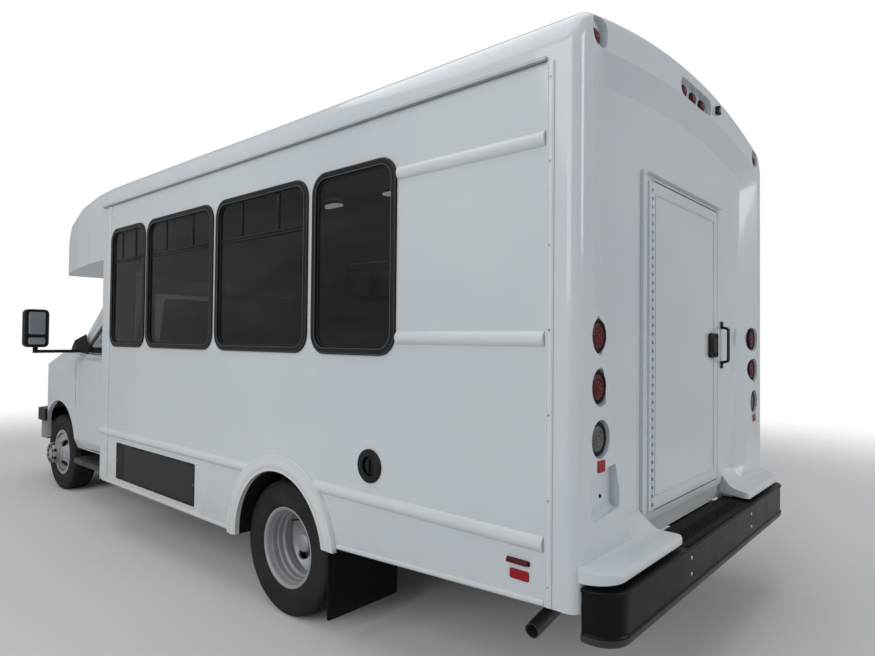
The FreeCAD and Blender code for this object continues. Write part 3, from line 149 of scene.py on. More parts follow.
# Woven seat cloth: its threads are 1.5 mm apart, drawn 12 mm apart so that they show, with a paler fleck.
def seatCloth(name, base, fleck):
    material, tree, shader, place = startMaterial(name, {"Roughness": 0.85, "Sheen Weight": 0.3})
    across, along = [addNode(tree, "ShaderNodeTexWave", {"Scale": 26.0, "bands_direction": axis},
                             {"Vector": place}).outputs["Fac"] for axis in ("X", "Z")]
    weave = addNode(tree, "ShaderNodeMath", {"operation": "MULTIPLY"}, {0: across, 1: along})
    flecks = blotches(tree, place, 60, 0.5, 0.7)
    coverWith(tree, shader, base, fleck, flecks, weave.outputs[0], 0.0008)
    return material


print("mixing the materials")
# sprayed steel, gelcoat and moulding: bright and glossy, greyer near the road
whitePaint = whiteCoat("whitePaint", "#d6dcdf", "#d0d6da")
whiteGelcoat = whiteCoat("whiteGelcoat", "#d8dde0", "#d2d8dc", rough=0.18, ripple=0.0005)
whiteTrim = whiteCoat("whiteTrim", "#dfe2e4", "#d8dcdf", rough=0.24)
# anodised and powder-coated black: smooth and satin, with soft edges to its highlights
blackFrame = solidFinish("blackAnodisedFrame", "#131518", "#1a1c1f", 0.38, 3, 0.00005, specular=0.3)
blackPowder = solidFinish("blackPowderCoat", "#08090b", "#0d0e10", 0.36, 2.5, 0.0002, specular=0.25)
# moulded plastics and vinyl: duller, with a fine moulded grain
blackPlastic = solidFinish("blackMouldedPlastic", "#121315", "#1a1b1d", 0.5, 2, 0.0002, specular=0.3)
greyPlastic = solidFinish("greyMouldedPlastic", "#55585b", "#63666a", 0.5, 2, 0.0002)
stepTread = solidFinish("chequeredStepTread", "#4b4e51", "#3a3c3e", 0.5, 6, 0.0006, metallic=0.2)
# the glazing beads' light grey is a painted highlight on the black frames
beadHighlightGrey = solidFinish("greyBeadPaintedHighlight", "#5d6164", "#54585b", 0.5, 2, 0.0001)
vinylFloor = solidFinish("greyVinylFloor", "#3b3d40", "#46484b", 0.6, 3, 0.0004)
dashPlastic = solidFinish("grainedDashPlastic", "#303236", "#3a3c40", 0.6, 2, 0.0003)
# rubber: matt, and on the tyres browned in patches by the road
blackRubber = solidFinish("blackRubber", "#0e0f10", "#161617", 0.7, 3, 0.0002, specular=0.25)
tyreRubber = solidFinish("tyreRubber", "#212325", "#343331", 0.75, 4, 0.0004, roughSwing=0.15, specular=0.25)
# bright metals: turned, anodised or plated, with tight highlights; the wheels are silver paint
silverPaint = solidFinish("silverWheelPaint", "#b4b7ba", "#a2a5a8", 0.36, 3, 0.00005, metallic=0.25)
anodised = solidFinish("anodisedAluminium", "#9a9c9b", "#828482", 0.35, 2, 0.00004, metallic=0.8)
zincSteel = solidFinish("zincPlatedSteel", "#b9bbbd", "#9a9c9e", 0.3, 1.5, 0.00004, metallic=0.9)
hubMetal = solidFinish("turnedHubSteel", "#8f9092", "#6c6a66", 0.4, 2, 0.0001, metallic=0.8)
mirrorGlass = solidFinish("silveredGlass", "#c9ced2", "#bcc2c7", 0.03, 40, 0.00001, metallic=1.0,
                          roughSwing=0.02)
# what is under the bus: brushed-on paint, sand castings and a scorched pipe, dull and patchy
chassisPaint = solidFinish("chassisBlackPaint", "#17181a", "#262523", 0.55, 6, 0.0004, roughSwing=0.25)
castIron = solidFinish("castIron", "#2b2c2e", "#3a3634", 0.6, 3, 0.0006, metallic=0.3, roughSwing=0.25)
exhaustSteel = solidFinish("aluminisedSteel", "#6f6a61", "#4f473e", 0.45, 8, 0.0003, metallic=0.7,
                           roughSwing=0.25)
# the body's glass is nearly black, the cab's is a clearer green
darkGlass = tintedGlass("darkTintedGlass", "#23282c", "#0a0d10", 0.76)
cabGlass = tintedGlass("greenTintedGlass", "#16211f", "#05070a", 0.34)
# lenses: a deep colour whose prisms catch small points of light
redLens = lensFinish("redAcrylicLens", "#70040c", "#2c0104")
redOptic = lensFinish("redOpticDots", "#a80f1b", "#720610")
amberLens = lensFinish("amberAcrylicLens", "#d9730f", "#8a3d04")
clearLens = lensFinish("clearAcrylicLens", "#83888b", "#3a3e41")
redReflector = lensFinish("redReflector", "#b40f1c", "#8a0a14", 2.5)
cloth = seatCloth("wovenSeatCloth", "#2a323f", "#47526a")


# Half-round rails and flares are white; the gutter above 2.5 m is bare aluminium with a bright lip.
def trimFinish():
    material = whiteTrim.copy()
    material.name = "whiteTrimWithBareGutter"
    tree = material.node_tree
    shader = next(n for n in tree.nodes if n.type == "BSDF_PRINCIPLED")
    colour = shader.inputs["Base Color"].links[0].from_socket
    place = addNode(tree, "ShaderNodeTexCoord").outputs["Object"]
    height = addNode(tree, "ShaderNodeSeparateXYZ", links={"Vector": place}).outputs["Z"]
    for start, end, tone in ((2.5, 2.51, "#7d8082"), (2.568, 2.5685, "#c3c6c8")):  # channel, then lip
        above = addNode(tree, "ShaderNodeMapRange", {"From Min": start, "From Max": end}, {"Value": height})
        colour = addNode(tree, "ShaderNodeMixRGB", {"Color2": linear(tone)},
                         {"Fac": above.outputs[0], "Color1": colour}).outputs[0]
    tree.links.new(colour, shader.inputs["Base Color"])
    return material


# Bumper in two tones that meet at a height in metres: moulding or rolled lip below, pad or coat above; the
# rear's grey lip is painted sheen.
# Its grain is 2.5 mm and its gloss is low, so that the white studio doesn't grey it.
def bumperFinish(name, level, lower, upper):
    material, tree, shader, place = startMaterial(name, {"Specular IOR Level": 0.16})
    height = addNode(tree, "ShaderNodeSeparateXYZ", links={"Vector": place}).outputs["Z"]
    above = addNode(tree, "ShaderNodeMapRange", {"From Min": level - 0.0015, "From Max": level + 0.0015},
                    {"Value": height})
    grain = addNode(tree, "ShaderNodeTexNoise", {"Scale": 400.0}, {"Vector": place})
    coverWith(tree, shader, lower, upper, above.outputs[0], grain.outputs["Fac"], 0.0002)
    dull = addNode(tree, "ShaderNodeMapRange", {"To Min": 0.34, "To Max": 0.4},
                   {"Value": blotches(tree, place, 8)})
    tree.links.new(dull.outputs[0], shader.inputs["Roughness"])
    return material


# Punched sheet: 9 mm holes, 14 mm apart, drawn as dark cells in a black panel; the cells' near-black is
# painted shade for the dark behind the holes.
def punchedMesh():
    material, tree, shader, place = startMaterial("punchedMeshPaintedHoleShade", {"Roughness": 0.55})
    cells = addNode(tree, "ShaderNodeTexVoronoi", {"Scale": 70.0, "Randomness": 0.0}, {"Vector": place})
    hole = addNode(tree, "ShaderNodeMapRange", {"From Min": 0.3, "From Max": 0.36},
                   {"Value": cells.outputs["Distance"]}).outputs[0]
    # the holes are painted near-black as painted shade, not cut through
    coverWith(tree, shader, "#050506", "#1d1f22", hole, hole, 0.002)
    return material


# Opal acrylic domes, switched on as in the photograph.
def opalDome():
    material, tree, shader, place = startMaterial("opalDomeLamp", {"Emission Strength": 3.5})
    glow = coverWith(tree, shader, "#e9f2ee", "#d5e4de", blotches(tree, place, 30))
    tree.links.new(glow, shader.inputs["Emission Color"])
    return material


meshPanel = punchedMesh()
# the rear bumper's lip below 0.494 m is painted grey: a painted sheen on its black coat
bumperCoat = bumperFinish("blackCoatPaintedSheenLip", 0.494, "#3a3f44", "#0a0b0d")
bumperPad = bumperFinish("blackPadGreyMoulding", 0.6395, "#8d9094", "#1a1b1d")

finishes = {
    "frame_rails": chassisPaint, "engine_block": castIron, "front_crossmember": chassisPaint,
    "rear_axle": castIron, "drive_shaft": castIron, "fuel_tank": blackPlastic, "exhaust_pipe": exhaustSteel,
    "body_floor": vinylFloor, "side_wall_left": whitePaint, "side_wall_right": whitePaint,
    "roof_panel": whiteGelcoat, "rear_cap": whiteGelcoat, "front_cap": whiteGelcoat,
    "window_frames": blackFrame, "window_glass": darkGlass, "body_trim": trimFinish(),
    "skirt_grille": blackPlastic, "fuel_filler": blackPlastic, "tail_lamps": redLens,
    "rear_bumper": bumperCoat, "mud_flaps": blackRubber, "rear_door_frame": whitePaint,
    "rear_door": whitePaint, "grab_handle": blackPowder, "cab_body": whitePaint,
    "front_fenders": whitePaint, "windshield": cabGlass, "hood": whitePaint, "front_grille": greyPlastic,
    "front_bumper": bumperPad, "side_steps": stepTread, "dashboard": dashPlastic, "seat_cushions": cloth,
    "seat_frames": blackPowder, "wheelhouses": chassisPaint, "splash_guards": blackRubber,
    "entry_door_front": blackFrame, "entry_glass_front": darkGlass, "entry_door_rear": blackFrame,
    "entry_glass_rear": darkGlass, "tie_rod": chassisPaint,
}
for side, word in sides:
    finishes.update({
        "cab_door_" + word: whitePaint, "cab_glass_" + word: cabGlass, "mirror_" + word: blackPlastic,
        "knuckle_" + word: castIron, "front_tyre_" + word: tyreRubber, "front_rim_" + word: silverPaint,
        "rear_tyres_" + word: tyreRubber, "rear_rims_" + word: silverPaint})
for name, node in nodes.items():
    node.material_slots[0].material = finishes[name]


def setPlane(plane, u, v, level):
    return {"xy": (u, v, level), "xz": (u, level, v), "yz": (level, u, v)}[plane]


def addBlock(bm, x, y, z, round=0.0, steps=2):
    middle, size = zip(*(((low + high) / 2, high - low) for low, high in (x, y, z)))
    place = Matrix.Translation(middle) @ Matrix.Diagonal((*size, 1))
    made = bmesh.ops.create_cube(bm, size=1.0, matrix=place)
    if round:
        edges = list({e for v in made["verts"] for e in v.link_edges})
        bmesh.ops.bevel(bm, geom=edges, offset=round, affect="EDGES", segments=steps, profile=0.5, material=-1)
    return made["verts"]


def addRod(bm, start, end, radius, endRadius=None, steps=20):
    start, end = Vector(start), Vector(end)
    along = end - start
    turn = Vector((0, 0, 1)).rotation_difference(along).to_matrix().to_4x4()
    bmesh.ops.create_cone(bm, cap_ends=True, cap_tris=False, segments=steps, radius1=radius,
                          radius2=radius if endRadius is None else endRadius, depth=along.length,
                          matrix=Matrix.Translation((start + end) / 2) @ turn)


def outlineFace(bm, corners, plane, level, radius, steps):
    before = set(bm.faces)
    verts = [bm.verts.new(setPlane(plane, u, v, level)) for u, v in corners]
    bm.faces.new(verts)
    if radius:
        bmesh.ops.bevel(bm, geom=verts, offset=radius, affect="VERTICES", segments=steps, profile=0.5,
                        material=-1)
    return [f for f in bm.faces if f not in before]


def raiseFaces(bm, faces, shift):
    grown = bmesh.ops.extrude_face_region(bm, geom=faces)
    verts = [g for g in grown["geom"] if isinstance(g, bmesh.types.BMVert)]
    bmesh.ops.translate(bm, vec=shift, verts=verts)


def addPlate(bm, corners, plane, low, high, radius=0.0, steps=5):
    faces = outlineFace(bm, corners, plane, low, radius, steps)
    raiseFaces(bm, faces, setPlane(plane, 0, 0, high - low))


def rectangle(u, v, grow=0.0):
    low, high = (u[0] - grow, v[0] - grow), (u[1] + grow, v[1] + grow)
    return [low, (high[0], low[1]), high, (low[0], high[1])]


def addRing(bm, u, v, width, radius, plane, low, high, steps=6):
    loops = []
    for grow, bend in ((0.0, radius), (-width, max(radius - width, 2.0))):
        faces = outlineFace(bm, rectangle(u, v, grow), plane, low, bend, steps)
        loops += list({e for f in faces for e in f.edges})
        bmesh.ops.delete(bm, geom=faces, context="FACES_ONLY")
    band = bmesh.ops.bridge_loops(bm, edges=loops)["faces"]
    raiseFaces(bm, band, setPlane(plane, 0, 0, high - low))


def addTurned(bm, profile, centre, direction=(1, 0, 0), steps=40):
    # a profile of (radius, distance along) turned about a line through the centre
    before = set(bm.verts)
    verts = [bm.verts.new((along, 0, radius)) for radius, along in profile]
    edges = [bm.edges.new(pair) for pair in zip(verts, verts[1:])]
    if profile[0][0] or profile[-1][0]:
        edges.append(bm.edges.new((verts[-1], verts[0])))
    bmesh.ops.spin(bm, geom=verts + edges, cent=(0, 0, 0), axis=(1, 0, 0), angle=2 * pi, steps=steps,
                   use_merge=True)
    turn = Vector((1, 0, 0)).rotation_difference(Vector(direction)).to_matrix().to_4x4()
    turned = [v for v in bm.verts if v not in before]
    bmesh.ops.transform(bm, matrix=Matrix.Translation(centre) @ turn, verts=turned)


def addCopy(bm, mesh, shift):
    before = set(bm.verts)
    bm.from_mesh(mesh)
    bmesh.ops.translate(bm, vec=shift, verts=[v for v in bm.verts if v not in before])


def allOf(bm):
    return bm.verts[:] + bm.edges[:] + bm.faces[:]


def evaluated(piece):  # with its modifiers worked out
    return piece.evaluated_get(bpy.context.evaluated_depsgraph_get())


def setOnSide(bm, side):  # what is drawn on the left is mirrored for the right
    bmesh.ops.scale(bm, vec=(side, 1, 1), verts=bm.verts)


def sideSpan(side, near, far):  # two distances from the middle, as a pair of x on one side
    return sorted((side * near, side * far))


def offWall(side, near, far):  # the same, measured outwards from the side wall's face
    return sideSpan(side, wallFace + near, wallFace + far)


def startPiece():
    return bmesh.new()


def finishPiece(name, bm, material, body, edge=0.0, angle=35):
    bmesh.ops.remove_doubles(bm, verts=bm.verts, dist=0.02)
    bmesh.ops.transform(bm, matrix=toFrame, verts=bm.verts)
    bmesh.ops.recalc_face_normals(bm, faces=bm.faces)
    mesh = bpy.data.meshes.new(name)
    bm.to_mesh(mesh)
    bm.free()
    mesh.shade_smooth()
    mesh.set_sharp_from_angle(angle=radians(angle))
    piece = bpy.data.objects.new(name, mesh)
    bpy.context.scene.collection.objects.link(piece)
    mesh.materials.append(material)
    if edge:
        bevel = piece.modifiers.new("softEdges", "BEVEL")
        bevel.width = edge / 1000
        bevel.segments = 2
        bevel.limit_method = "ANGLE"
        bevel.angle_limit = radians(40)
    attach(piece, body)
    return piece


cameraLook = {"place": (3.188, 4.3635, 1.531), "yaw": -48.75, "pitch": 1.08, "roll": 0.54,
              "focal": 620.1, "wide": 875, "sensor": 36.0}


def placeCamera():
    yaw, pitch, roll = (radians(cameraLook[k]) for k in ("yaw", "pitch", "roll"))
    forward = Vector((sin(yaw) * cos(pitch), -cos(yaw) * cos(pitch), sin(pitch)))
    level = forward.cross(Vector((0, 0, 1))).normalized()
    up = level.cross(forward)
    aside = level * cos(roll) + up * sin(roll)
    top = up * cos(roll) - level * sin(roll)
    data = bpy.data.cameras.new("camera")
    data.sensor_width = cameraLook["sensor"]
    data.lens = cameraLook["sensor"] * cameraLook["focal"] / cameraLook["wide"]
    data.clip_end = 200
    camera = bpy.data.objects.new("camera", data)
    turn = Matrix((aside, top, -forward)).transposed().to_4x4()
    camera.matrix_world = Matrix.Translation(cameraLook["place"]) @ turn
    bpy.context.scene.collection.objects.link(camera)
    bpy.context.scene.camera = camera


studioLook = {
    "skyLight": 0.42, "floor": "#d9dadb", "floorRadius": 14.0, "fadeFrom": 5.5, "fadeTo": 11.0,
    "panels": (("skyPanel", (1.0, 0.5, 8.5), (0.3, 0.3, 0), 9.0, 240),
               ("leftPanel", (9.5, 1.5, 5.5), (0, 0, 1.2), 7.0, 300),
               ("rearPanel", (-3.5, 11.0, 5.5), (0, 2.5, 1.2), 5.0, 230),
               ("frontPanel", (-7.0, -8.0, 5.0), (0, 0, 1.0), 6.0, 200)),
}


def buildSky(scene):  # the camera and the windows see white, the bus is lit by a dimmer sky
    world = bpy.data.worlds.new("softStudio")
    world.use_nodes = True
    scene.world = world
    tree = world.node_tree
    tree.nodes.clear()
    ray = addNode(tree, "ShaderNodeLightPath").outputs
    seen = addNode(tree, "ShaderNodeMath", {"operation": "MAXIMUM"},
                   {0: ray["Is Camera Ray"], 1: ray["Is Transmission Ray"]})
    lit = addNode(tree, "ShaderNodeBackground",
                  {"Color": linear("#eef2f6"), "Strength": studioLook["skyLight"]})
    white = addNode(tree, "ShaderNodeBackground", {"Color": linear("#ffffff"), "Strength": 1.0})
    both = addNode(tree, "ShaderNodeMixShader",
                   links={"Fac": seen.outputs[0], 1: lit.outputs[0], 2: white.outputs[0]})
    addNode(tree, "ShaderNodeOutputWorld", links={"Surface": both.outputs[0]})


def buildFloor(scene):  # a pale floor that fades into the white behind
    bm = bmesh.new()
    bmesh.ops.create_circle(bm, cap_ends=True, segments=96, radius=studioLook["floorRadius"])
    mesh = bpy.data.meshes.new("studioFloor")
    bm.to_mesh(mesh)
    bm.free()
    floor = bpy.data.objects.new("studioFloor", mesh)
    scene.collection.objects.link(floor)
    material = bpy.data.materials.new("paleStudioFloor")
    material.use_nodes = True
    tree = material.node_tree
    tree.nodes.clear()
    place = addNode(tree, "ShaderNodeTexCoord").outputs["Object"]
    far = addNode(tree, "ShaderNodeVectorMath", {"operation": "LENGTH"}, {0: place}).outputs["Value"]
    fade = addNode(tree, "ShaderNodeMapRange",
                   {"interpolation_type": "SMOOTHSTEP", "From Min": studioLook["fadeFrom"],
                    "From Max": studioLook["fadeTo"]}, {"Value": far})
    matt = addNode(tree, "ShaderNodeBsdfDiffuse", {"Color": linear(studioLook["floor"]), "Roughness": 1.0})
    clear = addNode(tree, "ShaderNodeBsdfTransparent")
    both = addNode(tree, "ShaderNodeMixShader",
                   links={"Fac": fade.outputs[0], 1: matt.outputs[0], 2: clear.outputs[0]})
    addNode(tree, "ShaderNodeOutputMaterial", links={"Surface": both.outputs[0]})
    mesh.materials.append(material)


def buildStudio():
    scene = bpy.context.scene
    scene.view_settings.view_transform = "Standard"
    buildSky(scene)
    buildFloor(scene)
    for name, place, aim, size, watts in studioLook["panels"]:
        data = bpy.data.lights.new(name, "AREA")
        data.size = size
        data.energy = watts
        lamp = bpy.data.objects.new(name, data)
        lamp.location = place
        lamp.rotation_euler = (Vector(aim) - Vector(place)).to_track_quat("-Z", "Y").to_euler()
        scene.collection.objects.link(lamp)


print("placing the camera and the lights")
placeCamera()
buildStudio()

# wheels: the tread's ribs are (inner edge, outer edge, top), a wall point is (radius, half width)

tyreLook = {
    "axle": 372.0, "front": 872.0, "outer": 1040.0, "inner": 782.0, "rear": 4039.0,
    "pitches": 54, "blockLength": 33.0, "skew": 0.22, "blockFoot": 361.0,
    "ribs": ((-16, 16, 371.7), (22, 54, 371), (60, 90, 368.5), (-54, -22, 371), (-90, -60, 368.5)),
    "shoulder": 85.0, "shoulderDrop": 4.0, "groove": (364.5, 30),
    "wall": ((203.6, 60), (203.6, 78.5), (220.6, 84.5), (222, 94.4), (233, 102), (237, 105), (241, 105),
             (262, 109.4), (286, 110.8), (312, 109.4), (317, 110.4), (323, 109), (340, 105.4), (354, 99.5),
             (361, 92), (363.5, 84)),
}


def makeTyreMesh():
    bm = bmesh.new()
    half, foot = tyreLook["blockLength"] / 2, tyreLook["blockFoot"]
    for low, high, top in tyreLook["ribs"]:
        for v in addBlock(bm, (low, high), (-half, half), (foot, top)):
            v.co.y += (v.co.x - low) * tyreLook["skew"]
            if abs(v.co.x) > tyreLook["shoulder"] and v.co.z > foot + 4:
                v.co.z -= tyreLook["shoulderDrop"]
    count = tyreLook["pitches"]
    bmesh.ops.spin(bm, geom=allOf(bm), cent=(0, 0, 0), axis=(1, 0, 0), angle=2 * pi * (count - 1) / count,
                   steps=count - 1, use_duplicate=True)
    outer = [*tyreLook["wall"], tyreLook["groove"]]
    addTurned(bm, outer + [(r, -x) for r, x in reversed(outer)], (0, 0, 0), steps=72)
    mesh = bpy.data.meshes.new("tyrePattern")
    bm.to_mesh(mesh)
    bm.free()
    return mesh


# the lug nuts' washers, hexagons and stud ends are (from, to, radius, end radius, sides) off the disc
wheelLook = {
    "count": 8, "nutCircle": 82.6, "discFace": 923.0,
    "nut": ((-1, 5, 18, 18, 16), (4, 24, 15, 13.5, 6), (20, 31, 7.5, 6.5, 10)),
    "valve": ((938, 98), (1010, 106), (1024, 107)), "valveRadii": (5, 6.5),
    "drumEdge": ((70, 0), (150, 0), (150, 12), (70, 12)), "drumFace": 905.0,
}


def buildTyres(pattern, side, word):
    axle = tyreLook["axle"]
    bm = startPiece()
    addCopy(bm, pattern, (side * tyreLook["front"], 0, axle))
    front = finishPiece("treaded_tyre_front_" + word, bm, tyreRubber, "front_wheel_" + word,
                        angle=28)
    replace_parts(front, "front_tyre_" + word)
    bm = startPiece()
    for x in (tyreLook["outer"], tyreLook["inner"]):
        addCopy(bm, pattern, (side * x, tyreLook["rear"], axle))
    rear = finishPiece("treaded_tyres_rear_" + word, bm, tyreRubber, "rear_wheels_" + word,
                       angle=28)
    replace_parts(rear, "rear_tyres_" + word)


def buildWheelParts(side, word):
    rear, axle = tyreLook["rear"], tyreLook["axle"]
    bm = startPiece()  # lug nuts on their washers, inside the dish
    for i in range(wheelLook["count"]):
        turn = 2 * pi * i / wheelLook["count"]
        y, z = rear + wheelLook["nutCircle"] * cos(turn), axle + wheelLook["nutCircle"] * sin(turn)
        for near, far, radius, endRadius, steps in wheelLook["nut"]:
            ends = [(side * (wheelLook["discFace"] + off), y, z) for off in (near, far)]
            addRod(bm, *ends, radius, endRadius, steps)
    finishPiece("rear_lug_nuts_" + word, bm, zincSteel, "rear_wheels_" + word, edge=0.8)
    bm = startPiece()  # valve stem through a hand hole
    points = [(side * x, rear - away, axle + away) for x, away in wheelLook["valve"]]
    for start, end, radius in zip(points, points[1:], wheelLook["valveRadii"]):
        addRod(bm, start, end, radius, steps=10)
    finishPiece("valve_stem_" + word, bm, hubMetal, "rear_wheels_" + word)
    bm = startPiece()  # brake drum edge and dust shield behind the front disc
    addTurned(bm, wheelLook["drumEdge"], (side * wheelLook["drumFace"] - 6, 0, axle))
    finishPiece("brake_disc_" + word, bm, castIron, "front_wheel_" + word, edge=1)


# the rear wheels' section and hub are (radius, x); both discs meet at the mating face
rimLook = {
    "mate": 911.0, "holes": 4, "holeCircle": 141.0, "hole": 36.0, "drill": (850, 966),
    "section": ((62, 923), (118, 923), (127, 925.5), (156, 941), (184, 962), (187, 972), (178, 984),
                (176, 1018), (186, 1030), (187.5, 1054), (193, 1062), (194, 1090), (198.5, 1097),
                (199.5, 1118), (203, 1126), (209, 1132), (216, 1134.5), (221, 1133), (222, 1128),
                (220.5, 1124.5), (204, 1119), (203.2, 1100), (203.2, 975), (204, 962), (221, 954),
                (221, 945), (200, 948), (190, 951), (160, 930), (125, 912.5), (118, 911), (62, 911)),
    "hub": ((0, 1034), (22, 1033), (40, 1030), (50, 1024), (53, 1012), (54, 962), (60, 955), (63, 948),
            (63, 900), (0, 900)),
}


def drillHoles(bm):  # hand holes cut through the outer disc, as a boolean that is applied
    drills = startPiece()
    for i in range(rimLook["holes"]):
        turn = radians(45 + 360 * i / rimLook["holes"])
        y, z = rimLook["holeCircle"] * cos(turn), rimLook["holeCircle"] * sin(turn)
        start, end = ((x, y, z) for x in rimLook["drill"])
        addRod(drills, start, end, rimLook["hole"], steps=40)
    solids = []
    for mesh in (bm, drills):
        bmesh.ops.remove_doubles(mesh, verts=mesh.verts, dist=0.02)
        bmesh.ops.recalc_face_normals(mesh, faces=mesh.faces)
        data = bpy.data.meshes.new("drilling")
        mesh.to_mesh(data)
        mesh.free()
        solids.append(bpy.data.objects.new("drilling", data))
        bpy.context.scene.collection.objects.link(solids[-1])
    cut = solids[0].modifiers.new("holes", "BOOLEAN")
    cut.object = solids[1]
    drilled = bpy.data.meshes.new_from_object(evaluated(solids[0]))
    for solid in solids:
        bpy.data.objects.remove(solid)
    bm = startPiece()
    bm.from_mesh(drilled)
    return bm


def buildRearRims():
    mate = Matrix.Translation((-rimLook["mate"], 0, 0))
    for side, word in sides:
        bm = startPiece()
        addTurned(bm, rimLook["section"], (0, 0, 0), steps=96)
        bm = drillHoles(bm)
        bmesh.ops.mirror(bm, geom=allOf(bm), matrix=mate, merge_dist=0.001, axis="X")
        addTurned(bm, rimLook["hub"], (0, 0, 0), steps=64)
        setOnSide(bm, side)
        bmesh.ops.translate(bm, vec=(0, tyreLook["rear"], tyreLook["axle"]), verts=bm.verts)
        rims = finishPiece("turned_rims_rear_" + word, bm, silverPaint, "rear_wheels_" + word,
                           edge=1.2, angle=30)
        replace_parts(rims, "rear_rims_" + word)


print("wheels and tyres")
tyrePattern = makeTyreMesh()
for side, word in sides:
    buildTyres(tyrePattern, side, word)
    buildWheelParts(side, word)
buildRearRims()

# rear lamps, markers and reflectors: rings of dots are (radius, count)

lampLook = {"face": 5841.0, "x": 1035.0, "heights": (1551.0, 1359.0, 1164.0), "radius": 65.0,
            "lens": 50.0, "dots": ((14, 6), (30, 12))}
reflectorLook = {"half": 28.0, "z": (1042, 1086), "y": (5866, 5871.5), "sideY": (5587, 5673),
                 "sideZ": (634, 672), "markerY": (5573, 5677), "markerZ": (692, 712),
                 "markerLensY": (5577, 5673), "markerLensZ": (694, 710)}
backward = (0, 1, 0)


def addLampRing(bm, place, radius, lens):
    profile = [(lens - 1, 2), (lens + 1, 13), (lens + 5, 16), (radius - 3, 15), (radius, 11), (radius, 0),
               (lens - 1, 0)]
    addTurned(bm, profile, place, backward, 48)


def addLens(bm, place, radius):  # a domed face with five pressed rings
    profile = [(0, 17.5)]
    for i in range(1, 6):
        r = radius * i / 6
        profile += [(r - 1.6, 17.2 - i * 0.5), (r, 15.8 - i * 0.5), (r + 1.6, 17.0 - i * 0.5)]
    profile += [(radius - 1, 12.5), (radius - 1, 3), (0, 3)]
    addTurned(bm, profile, place, backward, 48)


def buildLamps():
    rings, reds, clears, clearDots, redDots = (startPiece() for _ in range(5))
    face = lampLook["face"]
    for side in (left, right):
        for i, z in enumerate(lampLook["heights"]):
            x = side * lampLook["x"]
            lenses, dots = (clears, clearDots) if i == 2 else (reds, redDots)
            addLampRing(rings, (x, face, z), lampLook["radius"], lampLook["lens"])
            addLens(lenses, (x, face, z), lampLook["lens"])
            for ring, count in lampLook["dots"]:
                for k in range(count):
                    turn = 2 * pi * k / count
                    u, w = x + ring * cos(turn), z + ring * sin(turn)
                    addRod(dots, (u, face + 12, w), (u, face + 18.4, w), 3.4, 2.2, steps=8)
    red = finishPiece("tail_lamp_lenses_red", reds, redLens, "chassis", angle=25)
    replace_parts(red, "tail_lamps")
    finishPiece("tail_lamp_lenses_clear", clears, clearLens, "chassis", angle=25)
    finishPiece("tail_lamp_grommets", rings, blackRubber, "chassis")
    finishPiece("tail_lamp_optics_clear", clearDots, clearLens, "chassis")
    finishPiece("tail_lamp_optics_red", redDots, redOptic, "chassis")


def buildReflectors():
    bm = startPiece()  # one on each pillar, and one on each side under its marker
    for side in (left, right):
        x = side * lampLook["x"]
        pillar = rectangle((x - reflectorLook["half"], x + reflectorLook["half"]), reflectorLook["z"])
        addPlate(bm, pillar, "xz", *reflectorLook["y"], 6)
        low, high = offWall(side, -0.5, 3)
        addPlate(bm, rectangle(reflectorLook["sideY"], reflectorLook["sideZ"]), "yz", low, high, 7)
    finishPiece("red_reflectors", bm, redReflector, "chassis", edge=0.8)
    bm = startPiece()
    for side in (left, right):
        low, high = offWall(side, -0.5, 3)
        addPlate(bm, rectangle(reflectorLook["markerY"], reflectorLook["markerZ"]), "yz", low, high, 6)
        addBlock(bm, offWall(side, 2, 17), reflectorLook["markerLensY"], reflectorLook["markerLensZ"], 5, 3)
    finishPiece("side_marker_lamps", bm, redLens, "chassis")


clusterLook = {"x": (-130.0, 0.0, 130.0), "lampZ": 2758.0, "markerX": 1066.0, "markerZ": 2676.0,
               "seat": 5837.0, "camera": -305.0, "cameraY": (5858.0, 5886.0), "cameraZ": 2782.0}


def buildHighLamps():
    bezel, lens, clear = startPiece(), startPiece(), startPiece()
    y = clusterLook["seat"]
    for x in clusterLook["x"]:
        place = (x, y, clusterLook["lampZ"])
        addTurned(lens, [(0, 24), (14, 22), (27, 15), (33, 6), (33, 3), (0, 3)], place, backward, 32)
        addTurned(bezel, [(32, 0), (33, 8), (36, 7), (37, 0)], place, backward, 32)
    for side in (left, right):
        place, aim = (side * clusterLook["markerX"], y, clusterLook["markerZ"]), (side * 0.25, 0.97, 0)
        addTurned(bezel, [(29, 2), (30, 14), (34, 12), (35, 0), (29, 0)], place, aim, 32)
        addTurned(lens, [(0, 30), (16, 27), (27, 17), (30, 8), (30, 1), (0, 1)], place, aim, 32)
    eye, level = clusterLook["camera"], clusterLook["cameraZ"]  # reversing camera under its hood
    hood = [(eye - 20, level - 20), (eye + 22, level - 20), (eye + 16, level + 22), (eye - 8, level + 24)]
    addPlate(bezel, hood, "xz", *clusterLook["cameraY"], 5)
    front = (eye + 4, clusterLook["cameraY"][1] - 1, level - 4)
    addTurned(clear, [(0, 5), (7, 4), (9, 0), (0, 0)], front, (0, 0.9, -0.43), 24)
    finishPiece("high_lamp_bezels", bezel, blackPlastic, "chassis", edge=1)
    finishPiece("high_lamp_lenses", lens, redLens, "chassis")
    finishPiece("camera_lens", clear, mirrorGlass, "chassis")


print("lamps and reflectors")
buildLamps()
buildReflectors()
buildHighLamps()

# passenger body trim

stripLook = {"wide": 32.0, "thick": 5.0, "front": 1750.0, "rear": 5738.0, "foot": 566.0,
             "frontFoot": 430.0, "head": 2560.0, "bead": 3.5, "screws": (640, 2520, 310)}
skirtLook = {"x": 1211.0, "radius": 14.0, "height": 407.0, "starts": {left: 1784.0, right: 2672.0},
             "arch": 3604.0, "rear": ((4574.0, 518.0), (5736.0, 576.0))}


